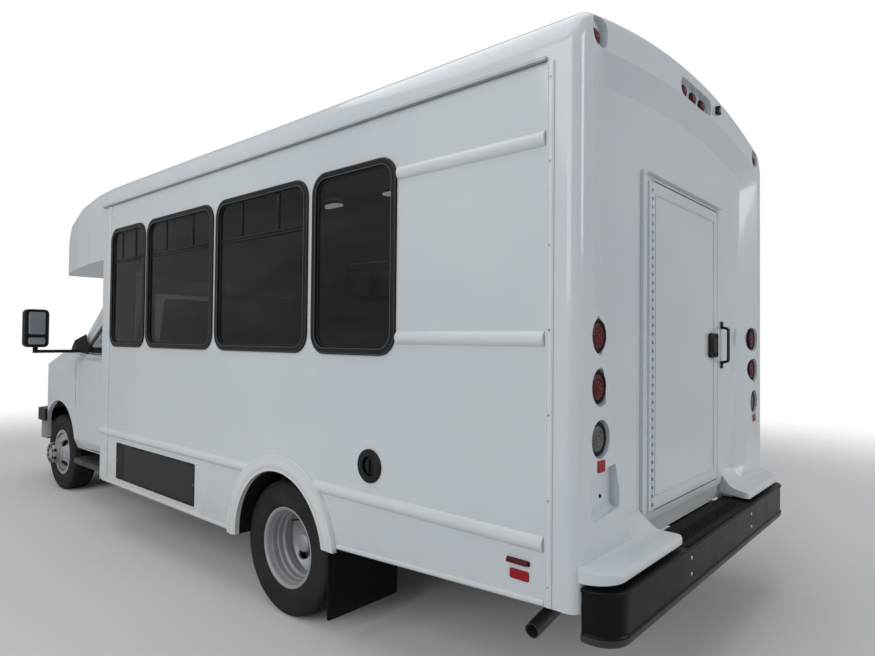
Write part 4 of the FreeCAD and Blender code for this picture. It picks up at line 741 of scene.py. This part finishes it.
def buildCornerStrips():
    bm, screws = startPiece(), startPiece()
    wide, head = stripLook["wide"], stripLook["head"]
    feet = ((stripLook["front"], stripLook["frontFoot"]), (stripLook["rear"], stripLook["foot"]))
    for side in (left, right):
        beadX = side * (wallFace + stripLook["thick"] - 1)
        for station, foot in feet:
            low, high = offWall(side, -0.5, stripLook["thick"])
            addPlate(bm, rectangle((station, station + wide), (foot, head)), "yz", low, high, 4)
            for edge in (6, wide - 6):  # a bead along each edge
                y = station + edge
                addRod(bm, (beadX, y, foot + 4), (beadX, y, head - 4), stripLook["bead"], steps=10)
            for z in range(*stripLook["screws"]):
                y = station + wide / 2
                addRod(screws, (side * (wallFace + 4), y, z), (side * (wallFace + 7.5), y, z), 5, 3.5,
                       steps=12)
    finishPiece("corner_strips", bm, whiteTrim, "chassis", edge=1)
    finishPiece("corner_strip_screws", screws, zincSteel, "chassis")


def buildSkirtEdges():
    bm = startPiece()  # half-round moulding folded round the skirts' lower edge
    for side in (left, right):
        x, low = side * skirtLook["x"], skirtLook["height"]
        front = [(skirtLook["starts"][side], low), (skirtLook["arch"], low)]
        for ends in (front, skirtLook["rear"]):
            start, end = ((x, *point) for point in ends)
            addRod(bm, start, end, skirtLook["radius"], steps=24)
    finishPiece("skirt_edge_moulding", bm, whiteTrim, "chassis")


# the moulding's section is (outwards from the arch, proud of its seat)
flareLook = {
    "station": 4089.0, "height": 417.0, "inner": 400.0, "screws": 11, "screwRadius": 474.0,
    "frontFoot": 394.0, "rearFoot": 490.0, "seat": -4.0, "linerGap": 3.0,
    "section": ((0, 3), (1, 18), (7, 27), (22, 33), (40, 35), (58, 32), (70, 27), (74, 26), (78, 29),
                (84, 29), (88, 24), (88, 3)),
    "liner": ((0, -200), (0, 2), (2, 2), (2, -200)),
    "railX": 1205.0, "railZ": 787.0, "railRadius": 33.0, "joints": ((3636, 3790), (4388, 4450)),
}


def sweepFlare(bm, side, section, base, start, sweep):
    # the section stands at the rear foot and is swept over the wheel
    y, z = flareLook["station"], flareLook["height"]
    seat = wallFace + flareLook["seat"]
    ring = []
    for r, proud in section:
        at = (side * (seat + proud), y + (base + r) * cos(start), z + (base + r) * sin(start))
        ring.append(bm.verts.new(at))
    edges = [bm.edges.new(pair) for pair in zip(ring, ring[1:] + ring[:1])]
    swept = bmesh.ops.spin(bm, geom=ring + edges, cent=(0, y, z), axis=(1, 0, 0), angle=sweep, steps=48)
    last = [g for g in swept["geom_last"] if isinstance(g, bmesh.types.BMVert)]
    bm.faces.new(ring)
    bmesh.ops.contextual_create(bm, geom=last)


def buildFlare():
    mould, screws, liner = startPiece(), startPiece(), startPiece()
    y, z, inner = flareLook["station"], flareLook["height"], flareLook["inner"]
    start = asin((flareLook["rearFoot"] - z) / inner)
    sweep = pi - start + asin((z - flareLook["frontFoot"]) / inner)
    for side in (left, right):
        sweepFlare(mould, side, flareLook["section"], inner, start, sweep)
        sweepFlare(liner, side, flareLook["liner"], inner - flareLook["linerGap"], start, sweep)
        for i in range(flareLook["screws"]):
            turn = start + (sweep - 0.02) * (i + 0.3) / flareLook["screws"]
            u, w = y + flareLook["screwRadius"] * cos(turn), z + flareLook["screwRadius"] * sin(turn)
            addRod(screws, (side * (wallFace + 19), u, w), (side * (wallFace + 24), u, w), 5, 3.5, steps=12)
    finishPiece("wheel_flare_moulding", mould, whiteTrim, "chassis", angle=50)
    finishPiece("wheel_arch_liner", liner, blackRubber, "chassis")
    finishPiece("flare_screws", screws, zincSteel, "chassis")
    bm = startPiece()  # the rails run on into the flare
    for side in (left, right):
        x, level = side * flareLook["railX"], flareLook["railZ"]
        for low, high in flareLook["joints"]:
            addRod(bm, (x, low, level), (x, high, level), flareLook["railRadius"], steps=40)
    finishPiece("rail_flare_joints", bm, whiteTrim, "chassis")


# each screw's place is a share of the panel's length and height
grilleLook = {"y": (1953.0, 3164.0), "z": (451.0, 722.0), "blank": 150.0,
              "screws": ((0.02, 0.5), (0.2, 0.97), (0.2, 0.03), (0.52, 0.97), (0.52, 0.03), (0.86, 0.97),
                         (0.86, 0.03), (0.985, 0.5))}


def buildSkirtGrille():
    bm, screws, tray = startPiece(), startPiece(), startPiece()
    y, z = grilleLook["y"], grilleLook["z"]
    addPlate(bm, rectangle(y, z, -2), "yz", *offWall(left, -2.5, 0), 6)
    addRing(tray, y, z, 12, 8, "yz", *offWall(left, -7, 2.5))
    blank = (y[0] + 9, y[0] + grilleLook["blank"])  # a plain sheet over the front end
    addPlate(tray, rectangle(blank, z, -9), "yz", *offWall(left, -3, 0.6), 4)
    for u, v in grilleLook["screws"]:
        place = (y[0] + (y[1] - y[0]) * u, z[0] + (z[1] - z[0]) * v)
        addRod(screws, (wallFace - 1, *place), (wallFace + 3.5, *place), 5, 3.5, steps=12)
    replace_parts(finishPiece("skirt_mesh_panel", bm, meshPanel, "chassis"), "skirt_grille")
    finishPiece("skirt_mesh_frame", tray, blackPlastic, "chassis", edge=1)
    finishPiece("skirt_mesh_screws", screws, zincSteel, "chassis")


flapLook = {"x": (692.0, 1185.0), "y": (4459.0, 4465.0), "z": (112.0, 640.0), "ribs": 12, "ribMargin": 34.0,
            "ribZ": (150, 560), "barY": 4500.0, "barZ": (600, 640), "frameBar": (415, 700),
            "frameBarY": (4469, 4500), "bolts": (60, 180, 310, 430), "boltY": (4452, 4459), "bolt": 9.0}


def buildMudFlaps():
    flaps, bars = startPiece(), startPiece()
    front, back = flapLook["y"]
    margin, boltZ = flapLook["ribMargin"], sum(flapLook["barZ"]) / 2
    for side in (left, right):
        x = sideSpan(side, *flapLook["x"])
        addPlate(flaps, rectangle(x, flapLook["z"]), "xz", front, back, 14)
        for i in range(flapLook["ribs"]):  # the ribs on a moulded flap
            u = x[0] + margin + i * (x[1] - x[0] - 2 * margin) / (flapLook["ribs"] - 1)
            addBlock(flaps, (u - 4, u + 4), (back - 1, back + 2.5), flapLook["ribZ"], 1)
        addBlock(bars, x, (back, flapLook["barY"]), flapLook["barZ"], 3)
        addBlock(bars, sideSpan(side, *flapLook["frameBar"]), flapLook["frameBarY"], flapLook["barZ"], 3)
        for u in flapLook["bolts"]:
            start, end = ((side * (flapLook["x"][0] + u), y, boltZ) for y in flapLook["boltY"])
            addRod(bars, start, end, flapLook["bolt"], steps=6)
    flap = finishPiece("mud_flap_sheets", flaps, blackRubber, "chassis", edge=1)
    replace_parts(flap, "mud_flaps")
    finishPiece("mud_flap_bars", bars, chassisPaint, "chassis")


# each window is (front edge, width, whether it has vents), each sash bar (share of the width, half width)
windowLook = {"base": 1454.0, "tall": 915.0, "corner": 105.0, "face": 32.0, "vent": 255.0,
              "shares": ((0.29, 7), (0.71, 15)), "lip": 12.0, "latch": (90.0, 140.0),
              "left": ((1796, 604, True), (2428, 929, True), (3389, 925, True), (4350, 612, False)),
              "right": ((2745, 612, True), (3389, 925, True), (4350, 612, False))}


def addVent(bars, latches, side, clearY, top):
    bar = windowLook["base"] + windowLook["tall"] - windowLook["vent"]
    for lower, upper in ((bar - 14, bar - 2), (bar + 2, bar + 14)):
        addBlock(bars, offWall(side, -19, 0), clearY, (lower, upper), 2)
    for share, half in windowLook["shares"]:
        y = clearY[0] + (clearY[1] - clearY[0]) * share
        addBlock(bars, offWall(side, -19, -1), (y - half, y + half), (bar + 10, top), 2)
        if half > 10:  # the wide bar carries the latch
            grip = (bar + windowLook["latch"][0], bar + windowLook["latch"][1])
            addBlock(latches, offWall(side, -3, 2), (y - 3, y + 3), grip, 2)


def buildWindowDetails():
    rings, beads, bars, panes, latches = (startPiece() for _ in range(5))
    v = (windowLook["base"], windowLook["base"] + windowLook["tall"])
    face, corner = windowLook["face"], windowLook["corner"]
    for side, word in sides:
        for front, width, vents in windowLook[word]:
            u = (front, front + width)
            clearY, clearZ = (u[0] + face, u[1] - face), (v[0] + face, v[1] - face)
            addRing(rings, u, v, face, corner, "yz", *offWall(side, -3, 10))
            addRing(rings, clearY, clearZ, windowLook["lip"], corner - face, "yz", *offWall(side, -43, -1))
            for inset, bead, proud in ((face - 3, 3, 11.5), (5, 1.6, 10.8)):  # round the glass, round the rim; their light grey is a painted highlight along the frame's edges
                edgeY, edgeZ = (u[0] + inset, u[1] - inset), (v[0] + inset, v[1] - inset)
                addRing(beads, edgeY, edgeZ, bead, corner - inset, "yz", *offWall(side, 9, proud))
            pane = rectangle(clearY, clearZ, -10)
            addPlate(panes, pane, "yz", *offWall(side, -10, -6), corner - face - 10)
            if vents:
                addVent(bars, latches, side, clearY, clearZ[1])
    frames = finishPiece("window_frame_rings", rings, blackFrame, "chassis", edge=2.5)
    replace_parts(frames, "window_frames")
    finishPiece("window_sash_bars", bars, blackFrame, "chassis")
    # real beads, coloured light grey as a painted highlight along the frames' edges
    finishPiece("window_beads_painted_highlight", beads, beadHighlightGrey, "chassis")
    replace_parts(finishPiece("window_panes", panes, darkGlass, "chassis"), "window_glass")
    finishPiece("vent_latches", latches, blackPlastic, "chassis")


fillerLook = {"station": 4800.0, "height": 942.0, "screws": 6, "screwCircle": 70.0, "grip": 30.0}


def buildFiller():
    bm = startPiece()
    y, z, grip = fillerLook["station"], fillerLook["height"], fillerLook["grip"]
    for i in range(fillerLook["screws"]):
        turn = 2 * pi * i / fillerLook["screws"]
        u, w = y + fillerLook["screwCircle"] * cos(turn), z + fillerLook["screwCircle"] * sin(turn)
        addRod(bm, (wallFace + 5, u, w), (wallFace + 9, u, w), 4.5, 3, steps=10)
    addTurned(bm, [(0, 6), (30, 6), (38, 3), (40, 0), (0, 0)], (wallFace - 6, y, z))
    addBlock(bm, offWall(left, -5, 13), (y - 5, y + 5), (z - grip, z + grip), 4, 3)
    addTurned(bm, [(44, 0), (46, 3.5), (74, 4), (78, 1.5), (78, 0)], (wallFace + 5.5, y, z), steps=64)
    finishPiece("filler_cap", bm, blackPlastic, "chassis", edge=0.8)


print("body trim")
buildCornerStrips()
buildSkirtEdges()
buildFlare()
buildSkirtGrille()
buildMudFlaps()
buildWindowDetails()
buildFiller()

# rear door, handles and bumper

doorLook = {"hinge": (468.0, 5829.0), "top": 2254.0, "base": 778.0, "pitch": 38.0, "knuckle": 15.0,
            "gapX": (-469.5, 465.8), "gapZ": (770.5, 2261.5), "sealY": (5788.0, 5817.0),
            "panelX": (-415, 415), "panelZ": (836, 2208), "beadY": (5817.5, 5824.5),
            "latchX": (-440, -322), "latchZ": (1447, 1581), "latchY": (5822.5, 5832.0, 5837.0, 5840.0)}


def buildRearDoorDetails():
    bm = startPiece()  # knuckles of the long hinge
    x, y = doorLook["hinge"]
    z = doorLook["base"] + 20
    while z < doorLook["top"] - 20:
        addRod(bm, (x, y, z), (x, y, z + doorLook["knuckle"]), 7.3, steps=12)
        z += doorLook["pitch"]
    finishPiece("door_hinge_knuckles", bm, anodised, "chassis")
    bm = startPiece()  # rubber seal in the gap round the leaf
    addRing(bm, doorLook["gapX"], doorLook["gapZ"], 3.0, 14, "xz", *doorLook["sealY"])
    finishPiece("rear_door_seal", bm, blackRubber, "chassis")
    bm = startPiece()  # white bead round the inset panel
    addRing(bm, doorLook["panelX"], doorLook["panelZ"], 7, 12, "xz", *doorLook["beadY"])
    finishPiece("rear_door_bead", bm, whiteTrim, "door_rear", edge=1)
    bm = startPiece()  # paddle latch in its dished plate, with its lock below
    x, z = doorLook["latchX"], doorLook["latchZ"]
    foot, plate, rim, paddle = doorLook["latchY"]
    addPlate(bm, rectangle(x, z), "xz", foot, plate, 18)
    addRing(bm, x, z, 10, 18, "xz", plate - 1, rim)
    addBlock(bm, (x[0] + 20, x[1] - 20), (plate - 1, paddle), (z[0] + 23, z[1] - 25), 6, 3)
    lockX, lockZ = (x[0] + x[1]) / 2, z[0] + 13
    addRod(bm, (lockX, plate + 2, lockZ), (lockX, paddle - 1, lockZ), 7, steps=14)
    finishPiece("paddle_latch", bm, blackPlastic, "door_rear", edge=1)


# the step plate's outline is its left half from the sill to the bumper
bumperLook = {
    "face": 6001.0, "deck": (654.5, 659.0), "step": ((543, 5826), (543, 5870), (482, 5990)),
    "nosingY": (5984, 5992), "nosingZ": (655, 664), "grips": 28, "gripRows": 5, "gripPitch": 34.0,
    "rowPitch": 13.0, "gripStart": (-460.0, 5896.0), "gripHalf": (13.0, 4.0), "gripZ": (658, 664),
    "screwX": (-330, 330), "screwY": 5848.0, "boltX": (-458, 458), "boltZ": (608, 540),
    "fillet": ((536, 5822), (560, 5822), (556, 5872), (536, 5872)), "filletTop": 660.0,
    "bung": (968, 5829, 935),
}


def buildBumperDetails():
    bm = startPiece()  # step plate from the sill to the bumper, with rows of grips
    low, deck = bumperLook["deck"]
    sill, bend, end = bumperLook["step"]
    outline = [(-sill[0], sill[1]), sill, bend, end, (-end[0], end[1]), (-bend[0], bend[1])]
    addPlate(bm, outline, "xy", low, deck)
    addBlock(bm, (-end[0], end[0]), bumperLook["nosingY"], bumperLook["nosingZ"], 2)
    (startX, startY), (halfX, halfY) = bumperLook["gripStart"], bumperLook["gripHalf"]
    for row in range(bumperLook["gripRows"]):
        for i in range(bumperLook["grips"]):
            x = startX + (i + (row % 2) / 2) * bumperLook["gripPitch"]
            y = startY + row * bumperLook["rowPitch"]
            addBlock(bm, (x - halfX, x + halfX), (y - halfY, y + halfY), bumperLook["gripZ"], 2.5)
    for x in bumperLook["screwX"]:
        addTurned(bm, [(0, 4), (6, 3), (9, 0), (0, 0)], (x, bumperLook["screwY"], deck), (0, 0, 1), 16)
    for side in (left, right):  # rubber fillets between the plate and the foot wings
        fillet = [(side * x, y) for x, y in bumperLook["fillet"]]
        addPlate(bm, fillet, "xy", low, bumperLook["filletTop"])
    finishPiece("bumper_step_tread", bm, blackRubber, "chassis")
    bm = startPiece()  # carriage bolts through the face
    for x in bumperLook["boltX"]:
        for z in bumperLook["boltZ"]:
            addTurned(bm, [(0, 5), (6, 4), (10, 0), (0, 0)], (x, bumperLook["face"] - 1, z), backward, 16)
    finishPiece("bumper_bolts", bm, zincSteel, "chassis")
    bm = startPiece()  # rubber bung for the plate lamp's wire
    addTurned(bm, [(0, 5), (6, 4), (8, 0), (0, 0)], bumperLook["bung"], backward, 20)
    finishPiece("pocket_bung", bm, blackRubber, "chassis")


print("rear door and bumper")
buildRearDoorDetails()
buildBumperDetails()

# seats: drawn as slabs, then let out against their seams as cloth
padLook = {
    "voxel": 13.0, "pressure": 4.0, "frames": 20, "seam": 7.0, "bolster": 62.0, "channel": 5.0,
    "rows": ((left, (1980, 2760, 3540, 4320)), (right, (2860, 3600, 4340))),
    "seatX": 690.0, "pairHalf": 222.0, "base": 1115.0, "cabX": 430.0, "cabStation": 1060.0, "cabBase": 925.0,
    "cushionY": (6, 434), "cushionZ": (5, 104), "cushionRound": 45, "frontSeam": 120.0,
    "backFoot": 116.0, "backFootY": (384, 476), "backTopY": (394, 476), "backRound": 32,
    "backSeams": (0.42, 0.8), "cushionReach": (2.5, 12, 24), "backReach": (2.5, 20, 10),
}


def nearSeam(distance):
    return abs(distance) < padLook["seam"]


def cushionSeams(half):  # one across behind the front edge, and one inside each bolster
    def onSeam(p):
        behind = p.y - padLook["frontSeam"]
        bolster = behind > 0 and nearSeam(abs(p.x) - half + padLook["bolster"])
        return p.z > 60 and (nearSeam(behind) or bolster)
    return onSeam


def backSeams(half, rise, lean):  # the front face only: two across, and one inside each bolster
    def onSeam(p):
        z = p.z - padLook["backFoot"]
        bolster = z > 230 and nearSeam(abs(p.x) - half + padLook["bolster"])
        across = any(nearSeam(z - rise * share) for share in padLook["backSeams"])
        return (bolster or across) and p.y < 425 + lean * z / rise
    return onSeam


def skinSlab(name, bm):  # the slab in metres, as an even net of quads with eased corners
    bmesh.ops.scale(bm, vec=(0.001, 0.001, 0.001), verts=bm.verts)
    bmesh.ops.recalc_face_normals(bm, faces=bm.faces)
    slab = bpy.data.objects.new(name + "Slab", bpy.data.meshes.new(name + "Slab"))
    bm.to_mesh(slab.data)
    bm.free()
    bpy.context.scene.collection.objects.link(slab)
    remesh = slab.modifiers.new("voxels", "REMESH")
    remesh.mode = "VOXEL"
    remesh.voxel_size = padLook["voxel"] / 1000
    skin = bpy.data.meshes.new_from_object(evaluated(slab))
    bpy.data.objects.remove(slab)
    bm = bmesh.new()
    bm.from_mesh(skin)
    for _ in range(3):
        bmesh.ops.smooth_vert(bm, verts=bm.verts, factor=0.5, use_axis_x=True, use_axis_y=True,
                              use_axis_z=True)
    bm.to_mesh(skin)
    bm.free()
    return skin


def blowUp(name, skin, pinnedPoints):
    pad = bpy.data.objects.new(name + "Cloth", skin)
    bpy.context.scene.collection.objects.link(pad)
    pinned = pad.vertex_groups.new(name="pinned")
    pinned.add(pinnedPoints, 1.0, "REPLACE")
    drape = pad.modifiers.new("cloth", "CLOTH")
    drape.settings.vertex_group_mass = "pinned"
    drape.settings.use_pressure = True
    drape.settings.uniform_pressure_force = padLook["pressure"]
    drape.settings.effector_weights.gravity = 0
    drape.point_cache.frame_end = padLook["frames"]
    for frameNumber in range(1, padLook["frames"] + 1):
        bpy.context.scene.frame_set(frameNumber)
    settled = [v.co * 1000 for v in evaluated(pad).data.vertices]
    bpy.context.scene.frame_set(1)
    bpy.data.objects.remove(pad)
    return settled


def settlePad(name, bm, onSeam, fixed, reach):  # no point moves further than reach, and seams are pressed in
    skin = skinSlab(name, bm)
    drawn = [v.co * 1000 for v in skin.vertices]
    sewn = [onSeam(p) for p in drawn]
    settled = drawn
    settled = blowUp(name, skin, [i for i, p in enumerate(drawn) if sewn[i] or fixed(p)])
    normals = [v.normal.copy() for v in skin.vertices]
    for i, vertex in enumerate(skin.vertices):
        shift = settled[i] - drawn[i]
        held = Vector([max(-r, min(r, s)) for s, r in zip(shift, reach)])
        if sewn[i]:
            held -= normals[i] * padLook["channel"]
        vertex.co = drawn[i] + held
    return skin


def makePads(name, width, lean, height):  # the underside and the rear of each pad stay as drawn
    foot, top = padLook["backFoot"], height - 6
    half, rise = width / 2 - 4, top - 110
    bm = startPiece()
    addPlate(bm, rectangle((-half, half), padLook["cushionY"]), "xy", *padLook["cushionZ"],
             padLook["cushionRound"], 6)
    ends = [(e, *(v.co.z for v in e.verts)) for e in bm.edges]
    rim = [e for e, low, high in ends if abs(low - high) < 1 and low > 50]
    bmesh.ops.bevel(bm, geom=rim, offset=16, segments=3, affect="EDGES")
    cushion = settlePad(name + "Cushion", bm, cushionSeams(half),
                        lambda p: p.z < 22 or (p.y > 365 and p.z > 60), padLook["cushionReach"])
    bm = startPiece()
    (front, rear), (topFront, topRear) = padLook["backFootY"], padLook["backTopY"]
    outline = [(front, foot + 4), (rear, foot + 4), (topRear + lean, top), (topFront + lean, top)]
    addPlate(bm, outline, "yz", -half, half, padLook["backRound"], 6)
    back = settlePad(name + "Back", bm, backSeams(half, rise, lean),
                     lambda p: p.z < foot + 26 or p.y > 452 + lean * (p.z - foot) / rise,
                     padLook["backReach"])
    return cushion, back


def buildSeats():
    cushion, back = makePads("passenger", 436, 110, 700)
    cushions, backs, cab = startPiece(), startPiece(), startPiece()
    for side, stations in padLook["rows"]:
        for station in stations:
            for x in (-padLook["pairHalf"], padLook["pairHalf"]):
                place = (side * (padLook["seatX"] + x), station, padLook["base"])
                addCopy(cushions, cushion, place)
                addCopy(backs, back, place)
    for mesh in makePads("cab", 500, 90, 640):
        for side in (left, right):
            addCopy(cab, mesh, (side * padLook["cabX"], padLook["cabStation"], padLook["cabBase"]))
    for name, bm in (("passenger_cushions", cushions), ("passenger_backs", backs), ("cab_seat_pads", cab)):
        piece = finishPiece(name, bm, cloth, "chassis", angle=180)
        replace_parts(piece, "seat_cushions")


ceilingLook = {"x": (-560.0, 560.0), "z": 2806.0, "stations": (2300.0, 3150.0, 4000.0, 4850.0),
               "long": 130.0, "wide": 55.0, "rim": 8.0, "dome": (-22.0, -6.0), "plate": (-10.0, 6.0)}


def buildCeilingLamps():
    lens, base = startPiece(), startPiece()
    z, wide, long = (ceilingLook[k] for k in ("z", "wide", "long"))
    for x in ceilingLook["x"]:
        for y in ceilingLook["stations"]:
            u, v = (x - wide, x + wide), (y - long, y + long)
            addPlate(lens, rectangle(u, v), "xy", *(z + off for off in ceilingLook["dome"]), 50, 8)
            addPlate(base, rectangle(u, v, ceilingLook["rim"]), "xy",
                     *(z + off for off in ceilingLook["plate"]), 56, 8)
    finishPiece("ceiling_lamp_domes", lens, opalDome(), "chassis", edge=6)
    finishPiece("ceiling_lamp_bases", base, whiteTrim, "chassis", edge=2)


print("settling the seats, ceiling lamps")
buildSeats()
buildCeilingLamps()

# cab and nose: mirror glasses are (x, z), clearance lamps (x, y, lean), a hub cover notch is (x, radius), and
# its dark plate is painted shade
cabLook = {
    "mirrorFace": 680.0, "glasses": (((1336, 1476), (1540, 1748)), ((1336, 1476), (1451, 1522))),
    "foot": ((446, 1374), (672, 1374), (648, 1470), (604, 1556), (572, 1546), (474, 1440)),
    "footMiddle": (505.0, 1404.0), "footTaper": (0.72, 0.62), "doorFace": 1006.0,
    "sill": (1250, 700, 1372), "cup": ((1392, 1520), (1196, 1262)), "grip": ((1404, 1508), (1218, 1240)),
    "clearance": ((-600, 407.5, 0.1), (-150, 366, 0.02), (0, 364.3, 0), (150, 366, 0.02),
                  (600, 407.5, 0.1)),
    "clearanceZ": 2600.0, "hubPlane": 1001.0, "notches": 8,
    "notch": ((46, 84), (46, 101.6), (62, 100.2), (68, 98.2), (72.5, 94.6), (76, 89.5), (77, 84), (77, 58),
              (70, 58), (60, 76)),
}


def addMirror(glass, edge):  # rubber-backed glasses, the lower one wide-angle, and a foot on the door
    face, door = cabLook["mirrorFace"], cabLook["doorFace"]
    for x, z in cabLook["glasses"]:
        addPlate(glass, rectangle(x, z, -5), "xz", face - 2, face + 1.5, 16, 5)
        addRing(edge, x, z, 6, 20, "xz", face - 2, face + 3, 5)
    before = set(edge.verts)
    addPlate(edge, cabLook["foot"], "yz", door - 30, door + 54, 14, 5)
    (midY, midZ), (taperY, taperZ) = cabLook["footMiddle"], cabLook["footTaper"]
    for v in edge.verts:
        if v not in before and v.co.x > door:
            v.co.y, v.co.z = midY + (v.co.y - midY) * taperY, midZ + (v.co.z - midZ) * taperZ


def addDoorPull(grip, edge):  # the pull in its cup with a lock, and the sill under the glass
    face = cabLook["doorFace"]
    addPlate(grip, rectangle(*cabLook["cup"]), "yz", face - 1, face + 4, 20, 5)
    addBlock(grip, (face + 3, face + 26), *cabLook["grip"], 7, 3)
    addTurned(grip, [(0, 5), (10, 4), (12, 0), (0, 0)], (face + 3, 1500, 1212), (1, 0, 0), 16)
    rear, front, level = cabLook["sill"]
    addRod(edge, (face, rear, level), (face, front, level), 5, steps=10)


def addOpeningShades(slots):  # dark plates round the hub cover, painted shade over its openings, drawn at the top and turned about the axle
    outline = [(cabLook["hubPlane"] + x, r) for x, r in cabLook["notch"]]
    for i in range(cabLook["notches"]):
        before = set(slots.verts)
        addPlate(slots, outline, "xz", -15, 15)
        turn = Matrix.Rotation(radians(22.5 + 360 * i / cabLook["notches"]), 3, "X")
        bmesh.ops.rotate(slots, verts=[v for v in slots.verts if v not in before], cent=(0, 0, 0), matrix=turn)
    bmesh.ops.translate(slots, vec=(0, 0, tyreLook["axle"]), verts=slots.verts)


def buildCabSides():
    for side, word in sides:
        glass, edge, grip, slots = (startPiece() for _ in range(4))
        addMirror(glass, edge)
        addDoorPull(grip, edge)
        addOpeningShades(slots)
        for bm in (glass, edge, grip, slots):
            setOnSide(bm, side)
        door = "door_" + word
        finishPiece("mirror_glass_" + word, glass, mirrorGlass, door)
        finishPiece("mirror_bezel_" + word, edge, blackPlastic, door, edge=1.5)
        finishPiece("door_pull_" + word, grip, blackPlastic, door, edge=1)
        # the dark plates on the hub cover are painted shade where its openings are
        finishPiece("hub_cover_opening_shades_" + word, slots, blackPlastic, "front_wheel_" + word)


# each wiper starts at an x of its own, and its points are measured from there
noseLook = {
    "lampX": (474.0, 656.0), "lampMiddle": (565.0, -806.0, 967.0),
    "clearZ": (908, 1026), "clearY": (-812, -801), "amberZ": (824, 896), "amberY": (-810, -801),
    "frameZ": (822, 1028), "frameY": (-815, -799),
    "bars": 29, "barX": -408.0, "barPitch": 29.0, "barHalf": 4.0, "barY": (-749, -738), "barTall": 60.0,
    "barZ": (815, 893, 971), "crossX": (-424, 424), "crossY": (-756, -750), "crossZ": (884, 962),
    "wipers": (-560, 60), "pivot": (0, 62, 1412), "armFoot": (0, 55, 1420), "armTip": (430, 92, 1470),
    "blade": ((170, 74, 1452), (610, 97, 1482)),
}


def addWiper(bm, start):
    points = [noseLook["pivot"], noseLook["armFoot"], noseLook["armTip"], *noseLook["blade"]]
    pivot, armFoot, armTip, bladeFoot, bladeTip = [(start + x, y, z) for x, y, z in points]
    addTurned(bm, [(0, 14), (12, 12), (16, 0), (0, 0)], pivot, (0, -0.68, 0.73), 20)
    addRod(bm, armFoot, armTip, 7, 4, 12)
    addRod(bm, bladeFoot, bladeTip, 6, 5, 10)


def buildNose():
    clear, amber, black, bright = (startPiece() for _ in range(4))
    middleX, middleY, middleZ = noseLook["lampMiddle"]
    for side in (left, right):
        x = sideSpan(side, *noseLook["lampX"])
        addPlate(clear, rectangle(x, noseLook["clearZ"]), "xz", *noseLook["clearY"], 12, 5)
        addPlate(amber, rectangle(x, noseLook["amberZ"]), "xz", *noseLook["amberY"], 12, 5)
        addTurned(bright, [(10, 0), (46, 3), (54, 12), (50, 12), (44, 6), (10, 2)],
                  (side * middleX, middleY, middleZ), (0, -1, 0), 40)
        addRing(black, x, noseLook["frameZ"], 7, 14, "xz", *noseLook["frameY"], 5)
    for z in noseLook["barZ"]:  # upright bars in the three openings
        for i in range(noseLook["bars"]):
            x = noseLook["barX"] + i * noseLook["barPitch"]
            across = (x - noseLook["barHalf"], x + noseLook["barHalf"])
            addBlock(black, across, noseLook["barY"], (z, z + noseLook["barTall"]), 1.5)
    for z in noseLook["crossZ"]:
        addBlock(bright, noseLook["crossX"], noseLook["crossY"], (z - 3, z + 3), 2)
    for x, y, lean in cabLook["clearance"]:
        place = (x, y, cabLook["clearanceZ"])
        aim = Vector((lean if x > 0 else -lean, -0.8, 0.58)).normalized()
        addTurned(black, [(0, 6), (36, 5), (40, -6), (0, -6)], place, aim, 32)
        addTurned(amber, [(0, 20), (16, 18), (28, 10), (31, 4), (0, 4)], place, aim, 32)
    for start in noseLook["wipers"]:
        addWiper(black, start)
    finishPiece("headlamp_lenses", clear, clearLens, "chassis", edge=2)
    finishPiece("front_amber_lenses", amber, amberLens, "chassis", edge=2)
    finishPiece("nose_trim_black", black, blackPlastic, "chassis", edge=0.8)
    finishPiece("nose_bright_parts", bright, zincSteel, "chassis")


entryLook = {"front": (2214, 2227), "rear": (2233, 2246), "z": (470, 2300)}


def buildEntrySeals():  # rubber nosings where the two leaves meet
    for name in ("front", "rear"):
        bm = startPiece()
        addBlock(bm, offWall(right, -19, 0), entryLook[name], entryLook["z"], 4, 3)
        finishPiece("entry_nosing_" + name, bm, blackRubber, "entry_leaf_" + name)


print("cab, nose and entry")
buildCabSides()
buildNose()
buildEntrySeals()

bpy.context.view_layer.update()
print("finishing")
